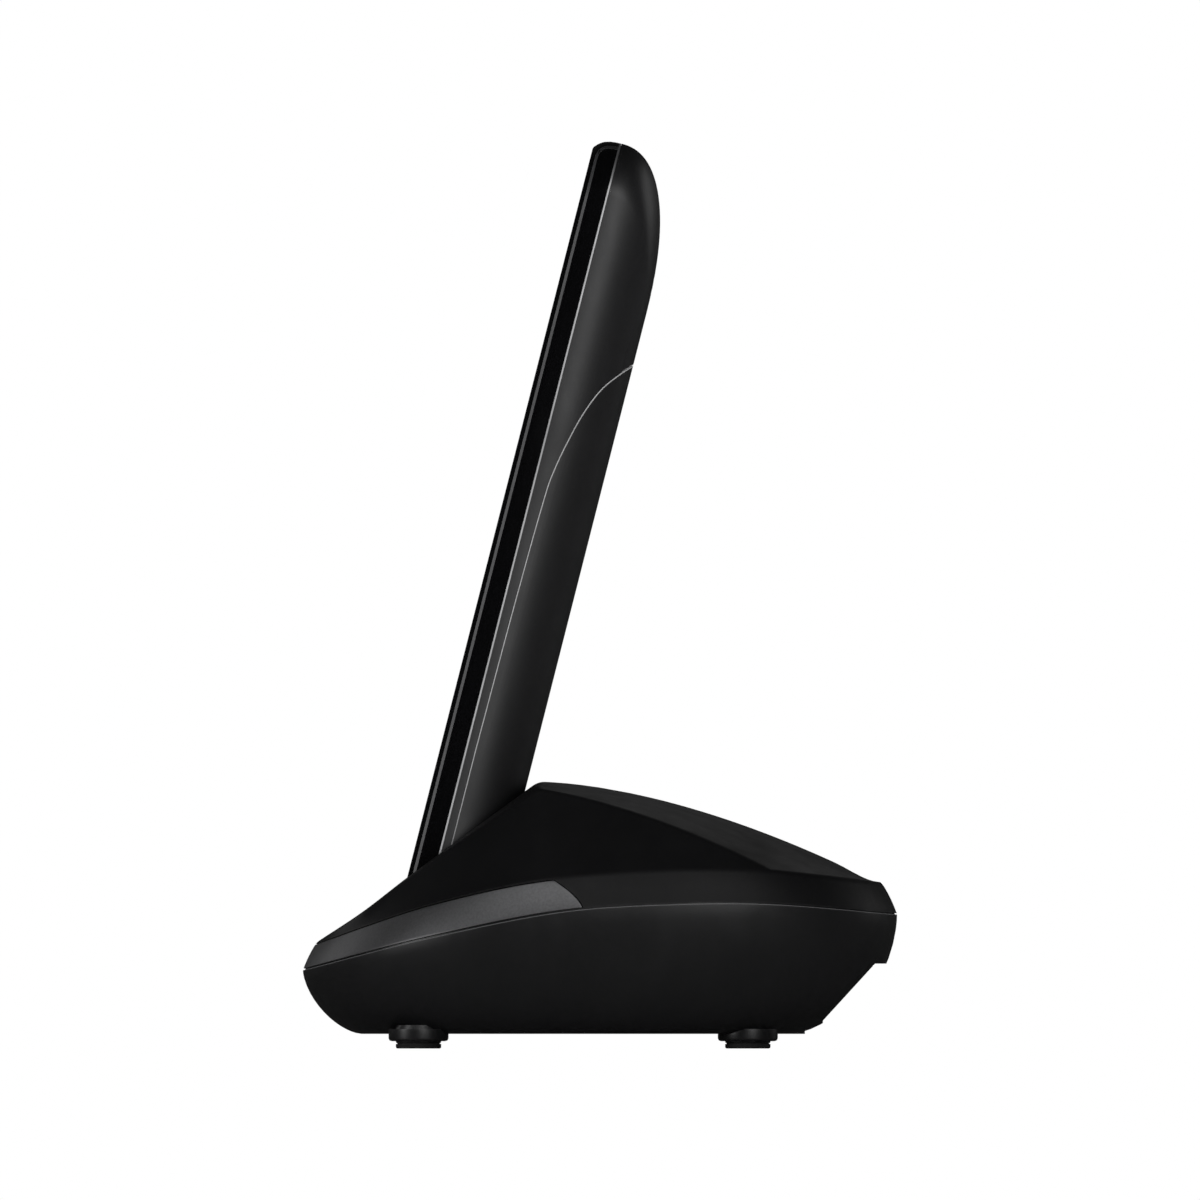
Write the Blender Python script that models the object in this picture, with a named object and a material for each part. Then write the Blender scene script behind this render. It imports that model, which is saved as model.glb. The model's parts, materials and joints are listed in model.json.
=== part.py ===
"""A cordless telephone: a slim handset standing in a low, humped charging base.

Metres, +Z up. The origin is on the table under the middle of the base, and the front faces -Y.
Handset pieces are drawn in the handset's own leaning frame: X across, Y from its front face
towards its back, Z from its bottom end towards its top.
"""

import math

import bmesh
import bpy
from mathutils import Matrix, Vector

# Overall sizes.
BASE_WIDTH = 0.104
BASE_DEPTH = 0.1218
HANDSET_WIDTH = 0.048
HANDSET_LENGTH = 0.168
HANDSET_THICKNESS = 0.01905
HANDSET_LEAN = math.radians(14.27)

HALF_WIDTH = BASE_WIDTH / 2
HALF_DEPTH = BASE_DEPTH / 2
HANDSET_HALF = HANDSET_WIDTH / 2
# A 48th of the handset's width and a 168th of its length: its features are placed in these steps.
BREADTH = HANDSET_WIDTH / 48
RISE = HANDSET_LENGTH / 168

# Clearances and walls.
GAP = 0.0003
CRADLE_CLEARANCE = 0.0006
BASE_WALL = 0.0022
ROOF_WALL = 0.0026
CASE_WALL = 0.0016
CRADLE_WALL = 0.0020

# Where the handset's lower front edge stands.
HANDSET_FOOT = (0.0, -0.6951 * HALF_DEPTH, 0.02406)

# Base outline and profile. Outline corners are super-ellipses: a higher power is squarer.
FRONT_POWER = 2.4
REAR_POWER = 2.9
FLOOR_HEIGHT = 0.0030
BOWL_POWER = 1.6
BOWL_FRONT = 0.0120
BOWL_REAR = 0.0185
BOWL_SIDE = 0.0120
BOWL_LEVELS = (0.0, 0.06, 0.16, 0.32, 0.55, 0.8, 1.0)
BAND_LEVELS = (0.35, 0.7, 1.0)
TOP_LEVELS = (1.0, 0.8, 0.4, 0.0)
# (share of the half depth, height) of the seam between the housings and of the crest above it.
PARTING_LINE = ((-1.0, 0.0161), (-0.60, 0.0223), (-0.13, 0.0280), (0.27, 0.0296),
                (0.60, 0.0295), (1.0, 0.0275))
CREST_LINE = ((-1.0, 0.0216), (-0.82, 0.0254), (-0.60, 0.0296), (-0.26, 0.0341), (0.07, 0.0360),
              (0.48, 0.0366), (0.75, 0.0352), (1.0, 0.0333))
CREST_INSET = 0.0027
CREST_ROUND = 0.0007
BAND_BELLY = 0.0009
SPINE_REACH = 0.788 * HALF_DEPTH
# The ridge stands behind the handset. The nose slope rises to it through these (share, height) points.
RIDGE_SETBACK = 0.01058
RIDGE_Y = HANDSET_FOOT[1] + HANDSET_THICKNESS + RIDGE_SETBACK
RIDGE_HEIGHT = 0.0547
NOSE_LINE = ((-0.954, 0.0218), (-0.800, 0.0280), (-0.644, 0.0353))
NOSE_SLOPE = tuple((share * HALF_DEPTH, height) for share, height in NOSE_LINE) + ((RIDGE_Y, RIDGE_HEIGHT),)
RAMP_POWER = 1.68
RIDGE_SHOULDER = 0.0014
CREST_DROP = 0.0004
HUMP_MARGIN = 0.0070
HUMP_HALF_WIDTH = HANDSET_HALF + HUMP_MARGIN
FACET_END_Y = 0.575 * HALF_DEPTH
FACET_POWER = 1.3
# Cable recess under the rear: a slanted cut right across and a notch for the sockets.
REAR_LIP_HEIGHT = 0.0174
REAR_LIP_Y = HALF_DEPTH - 0.0045
REAR_HEEL_HEIGHT = 0.0057
REAR_HEEL_Y = HALF_DEPTH - 0.0152
NOTCH_HALF_WIDTH = 0.0240
NOTCH_WALL_Y = HALF_DEPTH - 0.0189
NOTCH_DROP = 0.0003
# Front trim: where it ends on the sides, and its share of the band's height.
TRIM_END_LOW = -0.0035
TRIM_END_HIGH = -0.0100
TRIM_THICKNESS = 0.0012
TRIM_LOW_SHARE = 0.07
TRIM_HIGH_SHARE = 0.93
TRIM_GROOVE_SHARE = 0.05
TRIM_LEVELS = 3
TRIM_COLUMNS = 32
# Feet.
FOOT_FRONT_Y = -0.611 * HALF_DEPTH
FOOT_REAR_Y = 0.4975 * HALF_DEPTH
FOOT_X = 0.606 * HALF_WIDTH
FOOT_INNER_X = 0.442 * HALF_WIDTH
COLLAR_RADIUS = 0.00615
COLLAR_RISE = 0.0008
STEM_RADIUS = 0.00465
HEEL_RADIUS = 0.0044
HEEL_RISE = 0.0035
PAD_HEIGHT = 0.0011
# Housing screws.
SCREW_X = 0.577 * HALF_WIDTH
SCREW_FRONT_Y = -0.263 * HALF_DEPTH
SCREW_REAR_Y = 0.197 * HALF_DEPTH
BOSS_RADIUS = 0.0036
BOSS_TOP = 0.0137
SHANK_RADIUS = 0.0014
HEAD_RADIUS = 0.0028
HEAD_LOW = 0.0056
HEAD_HEIGHT = 0.0020
SCREW_TIP = 0.0215
# Base electronics.
BOARD_LOW = 0.0056
BOARD_THICKNESS = 0.0012
BOARD_FRONT_Y = -0.0120
BOARD_REAR_Y = NOTCH_WALL_Y - 0.0050
BOARD_HALF_WIDTH = 0.0235
JACK_HEIGHT = 0.0090
JACK_LENGTH = 0.0120
LINE_JACK_X = 0.0120
LINE_JACK_WIDTH = 0.0120
LINE_SOCKET_WIDTH = 0.0098
LINE_SOCKET_HEIGHT = 0.0066
LATCH_HALF_WIDTH = 0.0030
POWER_JACK_X = -0.0120
POWER_JACK_WIDTH = 0.0090
POWER_SOCKET_RADIUS = 0.0031
POWER_PIN_RADIUS = 0.0010
SOCKET_DEPTH = 0.0090
BASE_AERIAL_X = -0.0180
BASE_AERIAL_RADIUS = 0.0011
BASE_AERIAL_FRONT = -0.0060
BASE_AERIAL_LENGTH = 0.0280
# Page button and charge light on the nose slope.
PAGE_Y = -0.875 * HALF_DEPTH
PAGE_WIDTH = 0.0140
PAGE_HEIGHT = 0.0821 * HALF_DEPTH
PAGE_BOARD_HALF = 0.6 * PAGE_HEIGHT
PAGE_LENGTH = 0.0036
LIGHT_X = 0.0150
LIGHT_RADIUS = 0.0012
LIGHT_LENGTH = 0.0034
SWITCH_RADIUS = 0.0018
# Charging contacts.
CONTACT_X = 0.0090
CONTACT_DEPTH = 0.0024
CONTACT_WIDTH = 0.0040
CONTACT_THICKNESS = 0.0014
CONTACT_RISE = 0.0007
CONTACT_TAIL = 0.0070
PAD_RECESS = 0.0010
PAD_THICKNESS = 0.0006
CRADLE_FLOOR = 0.0004
CRADLE_RIM = 0.0060
DOOR_TRAVEL_ROOM = 0.0052
CONTACT_CARRIER_WIDTH = 0.0280
CONTACT_CARRIER_HEIGHT = 0.0040

# Handset shell, measured from its front face and its bottom end.
FRONT_CASE_BACK = 0.00475
TRIM_FRONT = 0.0050
TRIM_BACK = 0.0055
REAR_CASE_FRONT = 0.0058
BACK_FLAT_HALF = 11.0 * BREADTH
TOP_CURVE_LENGTH = 33.0 * RISE
TOP_CURVE_POWER = 2.3
BOTTOM_ROUND = 0.0060
TOP_CORNER = 0.0110
BOTTOM_CORNER = 0.0090
CURVE_DEPTH = HANDSET_THICKNESS - TRIM_BACK
BACK_ROUND = HANDSET_HALF - BACK_FLAT_HALF
BACK_TURNS = (0, 16, 30, 43, 54, 64, 73, 81.5, 90)
# Depths of the front case's edge: (depth, inset at the sides, inset at the top, inset at the bottom).
FRONT_EDGE = ((0.0, 0.0006, 0.0022, 0.0010), (0.0006, 0.00045, 0.00135, 0.0006),
              (0.0015, 0.0001, 0.0007, 0.0003), (0.0031, 0.0, 0.0002, 0.0001),
              (FRONT_CASE_BACK, 0.0, 0.0, 0.0))
DOOR_THICKNESS = 0.0016
# Door seam in side view: (share of the back's depth, steps up the handset), from the back edge to the side.
DOOR_LINE = ((0.991, 124.4), (0.832, 122.1), (0.618, 118.2), (0.441, 112.5), (0.330, 106.9),
             (0.242, 101.2), (0.190, 95.7), (0.145, 71.9), (0.116, 40.0))
DOOR_SEAM = tuple((TRIM_BACK + share * CURVE_DEPTH, height * RISE) for share, height in DOOR_LINE)
DOOR_ORIGIN_HEIGHT = 60.0 * RISE
# Handset front.
FACE_THICKNESS = 0.0016
WINDOW_LOW = 108.0 * RISE
WINDOW_HIGH = 145.0 * RISE
WINDOW_WIDTH = 39.0 * BREADTH
WINDOW_FRONT = 0.0001
WINDOW_THICKNESS = 0.0009
WINDOW_CORNER = 0.0027
VIEW_MARGIN = 0.0025
DISPLAY_WIDTH = 35.0 * BREADTH
KEYPAD_WIDTH = 41.0 * BREADTH
KEYPAD_LOW = 26.0 * RISE
KEYPAD_HIGH = 104.5 * RISE
KEYPAD_RECESS = 0.0005
KEYPAD_CORNER = 0.0040
KEY_COLUMN = 14.0 * BREADTH
KEY_WIDTH = 11.5 * BREADTH
KEY_HEIGHT = 7.2 * RISE
KEY_LENGTH = 0.0017
KEY_TOP = 0.0001
DIGIT_ROW_LOW = 34.0 * RISE
DIGIT_ROW_STEP = 11.2 * RISE
CALL_ROW = 79.0 * RISE
NAV_ROW = 94.5 * RISE
NAV_WIDTH = 15.0 * BREADTH
NAV_HEIGHT = 11.5 * RISE
SOFT_KEY_HEIGHT = 6.0 * RISE
SOFT_KEY_MARGIN = 0.0024
EARPIECE_HEIGHT = 156.0 * RISE
EARPIECE_SLOT_STEP = 0.0021
EARPIECE_SLOT_HALF = 0.0054
EARPIECE_SLOT_TAPER = 0.0015
MICROPHONE_HEIGHT = 19.0 * RISE
# Handset inside.
MAT_FRONT = 0.0026
MAT_THICKNESS = 0.0006
HANDSET_BOARD_FRONT = 0.0036
HANDSET_BOARD_THICKNESS = 0.0008
HANDSET_BOARD_WIDTH = 38.0 * BREADTH
HANDSET_BOARD_LOW = 12.0 * RISE
HANDSET_BOARD_HIGH = 145.5 * RISE
EARPIECE_RADIUS = 7.5 * RISE
CELL_RADIUS = 5.1 * BREADTH
CELL_LENGTH = 44.5 * RISE
CELL_LOW = 30.5 * RISE
CELL_NUB_RADIUS = 0.0018
CELL_NUB_LENGTH = 0.0010
CELL_BAY_LOW = 25.0 * RISE
CELL_BAY_HIGH = 77.0 * RISE
CELL_BAY_FLOOR = 0.0065
CELL_CONTACT_HALF_WIDTH = 9.0 * BREADTH
CELL_CONTACT_HALF_DEPTH = 4.0 * BREADTH
CHAMBER_LOW = 94.0 * RISE
CHAMBER_HIGH = 158.0 * RISE
CHAMBER_HALF_WIDTH = 16.5 * BREADTH
CHAMBER_DEPTH = 0.0138
RINGER_HEIGHT = 140.0 * RISE
RINGER_RADIUS = 9.5 * BREADTH
RINGER_SLOT_STEP = 0.0026
RINGER_SLOT_HALF = 0.0060
RINGER_SLOT_TAPER = 0.0008
HANDSET_AERIAL_HEIGHT = 152.5 * RISE
CASE_SCREW_X = 15.5 * BREADTH
CASE_SCREW_HEIGHT = 87.0 * RISE
CASE_SHANK_RADIUS = 0.00098
CASE_HEAD_RADIUS = 0.00224
CASE_HEAD_LOW = 0.0098
POST_RADIUS = 0.0026

MERGE = 1e-6
QUARTER_STEPS = 11

# Colour, roughness, metallic.
GLOSS_BLACK = ((0.006, 0.006, 0.007), 0.12, 0.0)
SATIN_BLACK = ((0.016, 0.016, 0.017), 0.38, 0.0)
GRAPHITE = ((0.070, 0.070, 0.072), 0.32, 0.3)
SILVER = ((0.52, 0.52, 0.53), 0.25, 0.9)
RUBBER = ((0.018, 0.018, 0.018), 0.85, 0.0)
STEEL = ((0.55, 0.55, 0.54), 0.3, 1.0)
GOLD = ((0.83, 0.62, 0.28), 0.28, 1.0)
BOARD_GREEN = ((0.02, 0.16, 0.07), 0.45, 0.0)
CELL_SLEEVE = ((0.05, 0.24, 0.12), 0.35, 0.0)
LENS_DARK = ((0.012, 0.013, 0.016), 0.05, 0.0)
SPEAKER_GREY = ((0.12, 0.12, 0.13), 0.5, 0.2)
MAT_GREY = ((0.30, 0.31, 0.32), 0.7, 0.0)
TALK_GREEN = ((0.03, 0.30, 0.08), 0.35, 0.0)
OFF_RED = ((0.42, 0.03, 0.03), 0.35, 0.0)
LIGHT_AMBER = ((0.75, 0.28, 0.05), 0.2, 0.0)


# Shared tools ---------------------------------------------------------------------------------


def material(name, finish):
    """One Principled material of its own for each piece."""
    colour, roughness, metallic = finish
    made = bpy.data.materials.new(name)
    made.use_nodes = True
    shader = made.node_tree.nodes["Principled BSDF"]
    shader.inputs["Base Color"].default_value = (*colour, 1.0)
    shader.inputs["Roughness"].default_value = roughness
    shader.inputs["Metallic"].default_value = metallic
    made.diffuse_color = (*colour, 1.0)
    return made


def solid(name, vertices, faces, parent=None):
    """A closed mesh object with doubled points merged and its faces pointing out."""
    mesh = bpy.data.meshes.new(name)
    mesh.from_pydata([tuple(vertex) for vertex in vertices], [], faces)
    work = bmesh.new()
    work.from_mesh(mesh)
    bmesh.ops.remove_doubles(work, verts=work.verts, dist=MERGE)
    bmesh.ops.dissolve_degenerate(work, edges=work.edges, dist=MERGE)
    bmesh.ops.recalc_face_normals(work, faces=work.faces)
    work.to_mesh(mesh)
    work.free()
    made = bpy.data.objects.new(name, mesh)
    bpy.context.scene.collection.objects.link(made)
    made.parent = parent
    return made


def stack(name, rings, parent=None, ladder=False):
    """Joins closed rings of equal length in order, and closes the first and the last with a face.

    A ladder closes them with a row of quads between the ring's two halves, for ends that aren't flat.
    """
    count = len(rings[0])
    vertices = [point for ring in rings for point in ring]
    faces = []
    for level in range(len(rings) - 1):
        for index in range(count):
            following = (index + 1) % count
            faces.append((level * count + index, level * count + following,
                          (level + 1) * count + following, (level + 1) * count + index))
    last = (len(rings) - 1) * count
    if ladder:
        for index in range(count // 2 - 1):
            rung = (index, index + 1, count - 2 - index, count - 1 - index)
            faces.append(tuple(reversed(rung)))
            faces.append(tuple(last + corner for corner in rung))
    else:
        faces.append(tuple(reversed(range(count))))
        faces.append(tuple(range(last, last + count)))
    return solid(name, vertices, faces, parent)


def extruded(name, outline, axis, low, high, parent=None):
    """A straight prism: the flat outline stands square to the axis (0 is X, 1 is Y, 2 is Z)."""
    rings = []
    for along in (low, high):
        ring = []
        for point in outline:
            place = list(point)
            place.insert(axis, along)
            ring.append(place)
        rings.append(ring)
    return stack(name, rings, parent)


def block(name, low, high, parent=None):
    """A box from its lowest to its highest corner."""
    outline = ((low[0], low[1]), (high[0], low[1]), (high[0], high[1]), (low[0], high[1]))
    return extruded(name, outline, 2, low[2], high[2], parent)


def turned(name, profile, centre, axis, parent=None, steps=16):
    """A round piece: (radius, distance along the axis) pairs turned about an axis through the centre."""
    rings = []
    for radius, along in profile:
        ring = []
        for step in range(steps):
            angle = 2 * math.pi * step / steps
            place = [radius * math.cos(angle), radius * math.sin(angle)]
            place.insert(axis, along)
            ring.append([place[0] + centre[0], place[1] + centre[1], place[2] + centre[2]])
        rings.append(ring)
    return stack(name, rings, parent)


def rounded_outline(half_width, low, high, low_radius, high_radius, steps=5):
    """A rectangle with round corners, anticlockwise from its lower right corner."""
    corners = ((1, low + low_radius, low_radius, -90), (1, high - high_radius, high_radius, 0),
               (-1, high - high_radius, high_radius, 90), (-1, low + low_radius, low_radius, 180))
    points = []
    for side, middle, radius, start in corners:
        for step in range(steps + 1):
            angle = math.radians(start + 90 * step / steps)
            across = side * (half_width - radius) + radius * math.cos(angle)
            points.append((across, middle + radius * math.sin(angle)))
    return points


def moved_outline(outline, across):
    return [(x + across, y) for x, y in outline]


def combine(target, other, operation="DIFFERENCE"):
    """Applies a Boolean to the target, and removes the other object."""
    modifier = target.modifiers.new(operation.title(), "BOOLEAN")
    modifier.operation = operation
    modifier.object = other
    bpy.context.view_layer.update()
    result = target.evaluated_get(bpy.context.evaluated_depsgraph_get())
    mesh = bpy.data.meshes.new_from_object(result)
    target.modifiers.clear()
    target.data = mesh
    bpy.data.objects.remove(other)


def cleaned(piece):
    """Merges the doubled points that cuts can leave."""
    work = bmesh.new()
    work.from_mesh(piece.data)
    bmesh.ops.remove_doubles(work, verts=work.verts, dist=MERGE)
    bmesh.ops.dissolve_degenerate(work, edges=work.edges, dist=MERGE)
    work.to_mesh(piece.data)
    work.free()


def finished(piece, finish, origin=(0.0, 0.0, 0.0), smooth=40):
    """Names the mesh, gives the piece its material, shades it and moves its origin."""
    cleaned(piece)
    piece.data.name = piece.name
    piece.data.materials.clear()
    piece.data.materials.append(material(piece.name, finish))
    piece.data.shade_smooth()
    piece.data.set_sharp_from_angle(angle=math.radians(smooth))
    piece.data.transform(Matrix.Translation(-Vector(origin)))
    piece.location = origin
    return piece


def curve_through(points):
    """A smooth function through (place, height) points, flat beyond its ends."""
    places = [point[0] for point in points]
    heights = [point[1] for point in points]
    last = len(points) - 1
    slopes = []
    for index in range(len(points)):
        before = max(index - 1, 0)
        after = min(index + 1, last)
        slopes.append((heights[after] - heights[before]) / (places[after] - places[before]))

    def height(place):
        place = min(max(place, places[0]), places[-1])
        index = 0
        while index < last - 1 and place > places[index + 1]:
            index += 1
        span = places[index + 1] - places[index]
        t = (place - places[index]) / span
        return (heights[index] * (1 + 2 * t) * (1 - t) ** 2 + heights[index + 1] * t * t * (3 - 2 * t)
                + span * (slopes[index] * t * (1 - t) ** 2 - slopes[index + 1] * t * t * (1 - t)))

    return height


# Base surfaces --------------------------------------------------------------------------------

seam_height = curve_through([(share * HALF_DEPTH, height) for share, height in PARTING_LINE])
crest_height = curve_through([(share * HALF_DEPTH, height) for share, height in CREST_LINE])
slope_height = curve_through(NOSE_SLOPE)


def outline_point(angle, half_width, front, rear):
    """A point of the base's outline: angle -90 degrees is the nose, 0 the side, 90 the rear."""
    power = FRONT_POWER if angle < 0 else REAR_POWER
    depth = front if angle < 0 else rear
    across = half_width * max(math.cos(angle), 0.0) ** (2 / power)
    along = math.copysign(depth * abs(math.sin(angle)) ** (2 / power), angle)
    return across, along


def outline_angle(place, front, rear):
    """The angle at which the outline passes a given Y."""
    power = FRONT_POWER if place < 0 else REAR_POWER
    depth = front if place < 0 else rear
    return math.copysign(math.asin(min(abs(place) / depth, 1.0) ** (power / 2)), place)


def outline_angles():
    """Angles for the right half, from nose to rear, with one on the ridge and one at the facet's end."""
    steps = [math.radians(-90 + 180 * step / (2 * QUARTER_STEPS)) for step in range(2 * QUARTER_STEPS + 1)]
    inset = CREST_INSET + CREST_ROUND
    for place in (RIDGE_Y, FACET_END_Y):
        wanted = outline_angle(place, HALF_DEPTH - inset, HALF_DEPTH - inset)
        nearest = min(range(1, len(steps) - 1), key=lambda index: abs(steps[index] - wanted))
        steps[nearest] = wanted
    return steps


ANGLES = outline_angles()


def mirrored(right):
    """The whole ring from its right half, which runs from the nose to the rear."""
    return list(right) + [(-x, y, z) for x, y, z in reversed(right[1:-1])]


def edge_half_width(place, crest_half_width):
    """Half the width of the hump's top at a given Y: straight wings, then an arc out to the crest."""
    if place <= RIDGE_Y:
        return HUMP_HALF_WIDTH
    share = min((place - RIDGE_Y) / (FACET_END_Y - RIDGE_Y), 1.0)
    return HUMP_HALF_WIDTH + (crest_half_width - HUMP_HALF_WIDTH) * share ** FACET_POWER


def ramp_height(place, rear):
    share = min(max((place - RIDGE_Y) / (rear - RIDGE_Y), 0.0), 1.0)
    return RIDGE_HEIGHT - (RIDGE_HEIGHT - CREST_LINE[-1][1]) * share ** RAMP_POWER


def top_height(share_across, place, rear):
    """Height of the hump's top, where share_across is 0 on the middle and 1 on its edge."""
    if place <= RIDGE_Y + MERGE:
        rise = min(max((place - NOSE_SLOPE[0][0]) / (RIDGE_Y - NOSE_SLOPE[0][0]), 0.0), 1.0)
        shoulder = RIDGE_SHOULDER * rise ** 2 * max(share_across - 0.8, 0.0) / 0.2
        return slope_height(place) - shoulder
    share = min((place - RIDGE_Y) / (FACET_END_Y - RIDGE_Y), 1.0)
    end_drop = ramp_height(max(place, FACET_END_Y), rear) - crest_height(max(place, FACET_END_Y)) - CREST_DROP
    drop = RIDGE_SHOULDER + (end_drop - RIDGE_SHOULDER) * share
    return ramp_height(place, rear) - drop * share_across ** 2


def band_ring(share, inset):
    """A ring round the band: share 0 on the seam and 1 on the crest."""
    lean = inset + CREST_INSET * share - BAND_BELLY * 4 * share * (1 - share)
    ring = []
    for angle in ANGLES:
        x, y = outline_point(angle, HALF_WIDTH - lean, HALF_DEPTH - lean, HALF_DEPTH - lean)
        low = seam_height(outline_point(angle, HALF_WIDTH, HALF_DEPTH, HALF_DEPTH)[1])
        high = crest_height(outline_point(angle, HALF_WIDTH, HALF_DEPTH, HALF_DEPTH)[1])
        ring.append((x, y, low + (high - low) * share))
    return ring


def hump_rings(inset=0.0, roof=0.0, floor_drop=0.0):
    """Rings of the upper housing, from the middle of its underside out and up to the middle of its top."""
    seam = band_ring(0.0, inset)
    lower = [(x, y, z - floor_drop) for x, y, z in seam]
    spine = [min(max(y, -SPINE_REACH), SPINE_REACH) for x, y, z in lower]
    middle = [(0.0, y, seam_height(y) - floor_drop) for y in spine]
    rings = [middle, lower]
    if floor_drop:
        rings.append(seam)
    for share in BAND_LEVELS:
        rings.append([(x, y, z - roof * share ** 4) for x, y, z in band_ring(share, inset)])
    lean = inset + CREST_INSET + CREST_ROUND
    rear = HALF_DEPTH - CREST_INSET
    edge = []
    for angle in ANGLES:
        x, y = outline_point(angle, HALF_WIDTH - lean, HALF_DEPTH - lean, HALF_DEPTH - lean)
        edge.append((min(x, edge_half_width(y, x) - inset), y))
    for across in TOP_LEVELS:
        ring = []
        for x, y in edge:
            spine = min(max(y, -SPINE_REACH), SPINE_REACH)
            place = spine + (y - spine) * across
            ring.append((x * across, place, top_height(across, place, rear) - roof))
        rings.append(ring)
    return [mirrored(ring) for ring in rings]


def bowl_rings(inset=0.0, floor_rise=0.0, top_rise=0.0):
    """Rings of the lower housing, from its flat floor up to the seam."""
    rings = []
    for share in BOWL_LEVELS:
        pull = 1 - (1 - (1 - share) ** BOWL_POWER) ** (1 / BOWL_POWER)
        ring = []
        for angle in ANGLES:
            x, y = outline_point(angle, HALF_WIDTH - inset - BOWL_SIDE * pull,
                                 HALF_DEPTH - inset - BOWL_FRONT * pull,
                                 HALF_DEPTH - inset - BOWL_REAR * pull)
            rim = seam_height(outline_point(angle, HALF_WIDTH, HALF_DEPTH, HALF_DEPTH)[1])
            low = FLOOR_HEIGHT + floor_rise
            ring.append((x, y, low + (rim - low) * share))
        rings.append(ring)
    if top_rise:
        rings.append([(x, y, z + top_rise) for x, y, z in rings[-1]])
    spine = [min(max(y, -SPINE_REACH), SPINE_REACH) for x, y, z in rings[-1]]
    rings.append([(0.0, y, seam_height(y) + top_rise) for y in spine])
    if not top_rise:
        rings[-1] = [(x, y, z - GAP) for x, y, z in rings[-1]]
        rings[-2] = [(x, y, z - GAP) for x, y, z in rings[-2]]
    return [mirrored(ring) for ring in rings]


def slope_frame(place, across=0.0):
    """A matrix on the nose slope: its Z axis points out of the slope, its Y axis up along it."""
    reach = 0.0005
    along = Vector((0, 2 * reach, slope_height(place + reach) - slope_height(place - reach))).normalized()
    out = Vector((1, 0, 0)).cross(along)
    turn = Matrix((Vector((1, 0, 0)), along, out)).transposed().to_4x4()
    return Matrix.Translation((across, place, slope_height(place))) @ turn


# Handset surfaces -----------------------------------------------------------------------------


def back_curve(depth, inset):
    """(half width, top, bottom) of the handset's outline at a depth behind the trim line."""
    share = min(max((depth - TRIM_BACK) / (CURVE_DEPTH - inset), 0.0), 1.0)
    bend = 1 - math.sqrt(1 - share * share)
    half_width = HANDSET_HALF - inset - (BACK_ROUND - inset) * bend
    top_bend = 1 - (1 - share ** TOP_CURVE_POWER) ** (1 / TOP_CURVE_POWER)
    top = HANDSET_LENGTH - inset - TOP_CURVE_LENGTH * top_bend
    return half_width, top, inset + BOTTOM_ROUND * bend


def back_rings(inset, front):
    """Rings of the handset's rounded back, from a front depth to its back face."""
    rings = []
    for turn in BACK_TURNS:
        share = math.sin(math.radians(turn))
        depth = TRIM_BACK + (CURVE_DEPTH - inset) * share
        half_width, top, bottom = back_curve(depth, inset)
        outline = rounded_outline(half_width, bottom, top, min(BOTTOM_CORNER, half_width * 0.6),
                                  min(TOP_CORNER, half_width * 0.8), 4)
        placed = max(depth, front) if turn == 0 else depth
        rings.append([(x, placed, z) for x, z in outline])
    if front < TRIM_BACK:
        rings.insert(0, [(x, front, z) for x, y, z in rings[0]])
    return rings


def handset_section(margin):
    """Cross-section of the handset, (across, depth), grown by a margin: flat front and round back."""
    right = [(HANDSET_HALF + margin, -margin), (HANDSET_HALF + margin, TRIM_BACK)]
    for turn in (18, 36, 54, 72, 90):
        angle = math.radians(turn)
        right.append((BACK_FLAT_HALF + (BACK_ROUND + margin) * math.cos(angle),
                      TRIM_BACK + (CURVE_DEPTH + margin) * math.sin(angle)))
    return right + [(-x, y) for x, y in reversed(right)]


def rear_section(margin, front):
    """The part of that section behind a given depth, for the room under the battery door."""
    points = handset_section(margin)
    kept = [(x, y) for x, y in points if y > front]
    wide = HANDSET_HALF + margin
    return [(wide, front)] + kept + [(-wide, front)]


# Base pieces ----------------------------------------------------------------------------------


def foot_outline(place, radius, side):
    """An obround along X under one side of the base."""
    points = []
    for step in range(9):
        angle = math.radians(-90 + 22.5 * step)
        points.append((side * (FOOT_X + radius * math.cos(angle)), place + radius * math.sin(angle)))
    for step in range(9):
        angle = math.radians(90 + 22.5 * step)
        points.append((side * (FOOT_INNER_X + radius * math.cos(angle)), place + radius * math.sin(angle)))
    return points


def screw_places():
    for row, place in (("front", SCREW_FRONT_Y), ("rear", SCREW_REAR_Y)):
        for side, across in (("left", -SCREW_X), ("right", SCREW_X)):
            yield row + "_" + side, across, place


def rear_wedge(name, wall):
    """Everything behind the slanted rear underside, moved inwards by a wall."""
    steepness = (REAR_LIP_HEIGHT - REAR_HEEL_HEIGHT) / (REAR_LIP_Y - REAR_HEEL_Y)
    rise = wall * (math.hypot(1, steepness) - steepness)
    outline = ((REAR_LIP_Y - wall, REAR_LIP_HEIGHT + wall), (BASE_DEPTH, REAR_LIP_HEIGHT + wall),
               (BASE_DEPTH, -0.010), (REAR_HEEL_Y - wall, -0.010),
               (REAR_HEEL_Y - wall, REAR_HEEL_HEIGHT + rise))
    return extruded(name, outline, 0, -BASE_WIDTH, BASE_WIDTH)


def rear_notch(name, wall):
    return block(name, (-NOTCH_HALF_WIDTH - wall, NOTCH_WALL_Y - wall, -0.010),
                 (NOTCH_HALF_WIDTH + wall, BASE_DEPTH, REAR_LIP_HEIGHT - NOTCH_DROP + wall))


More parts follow.
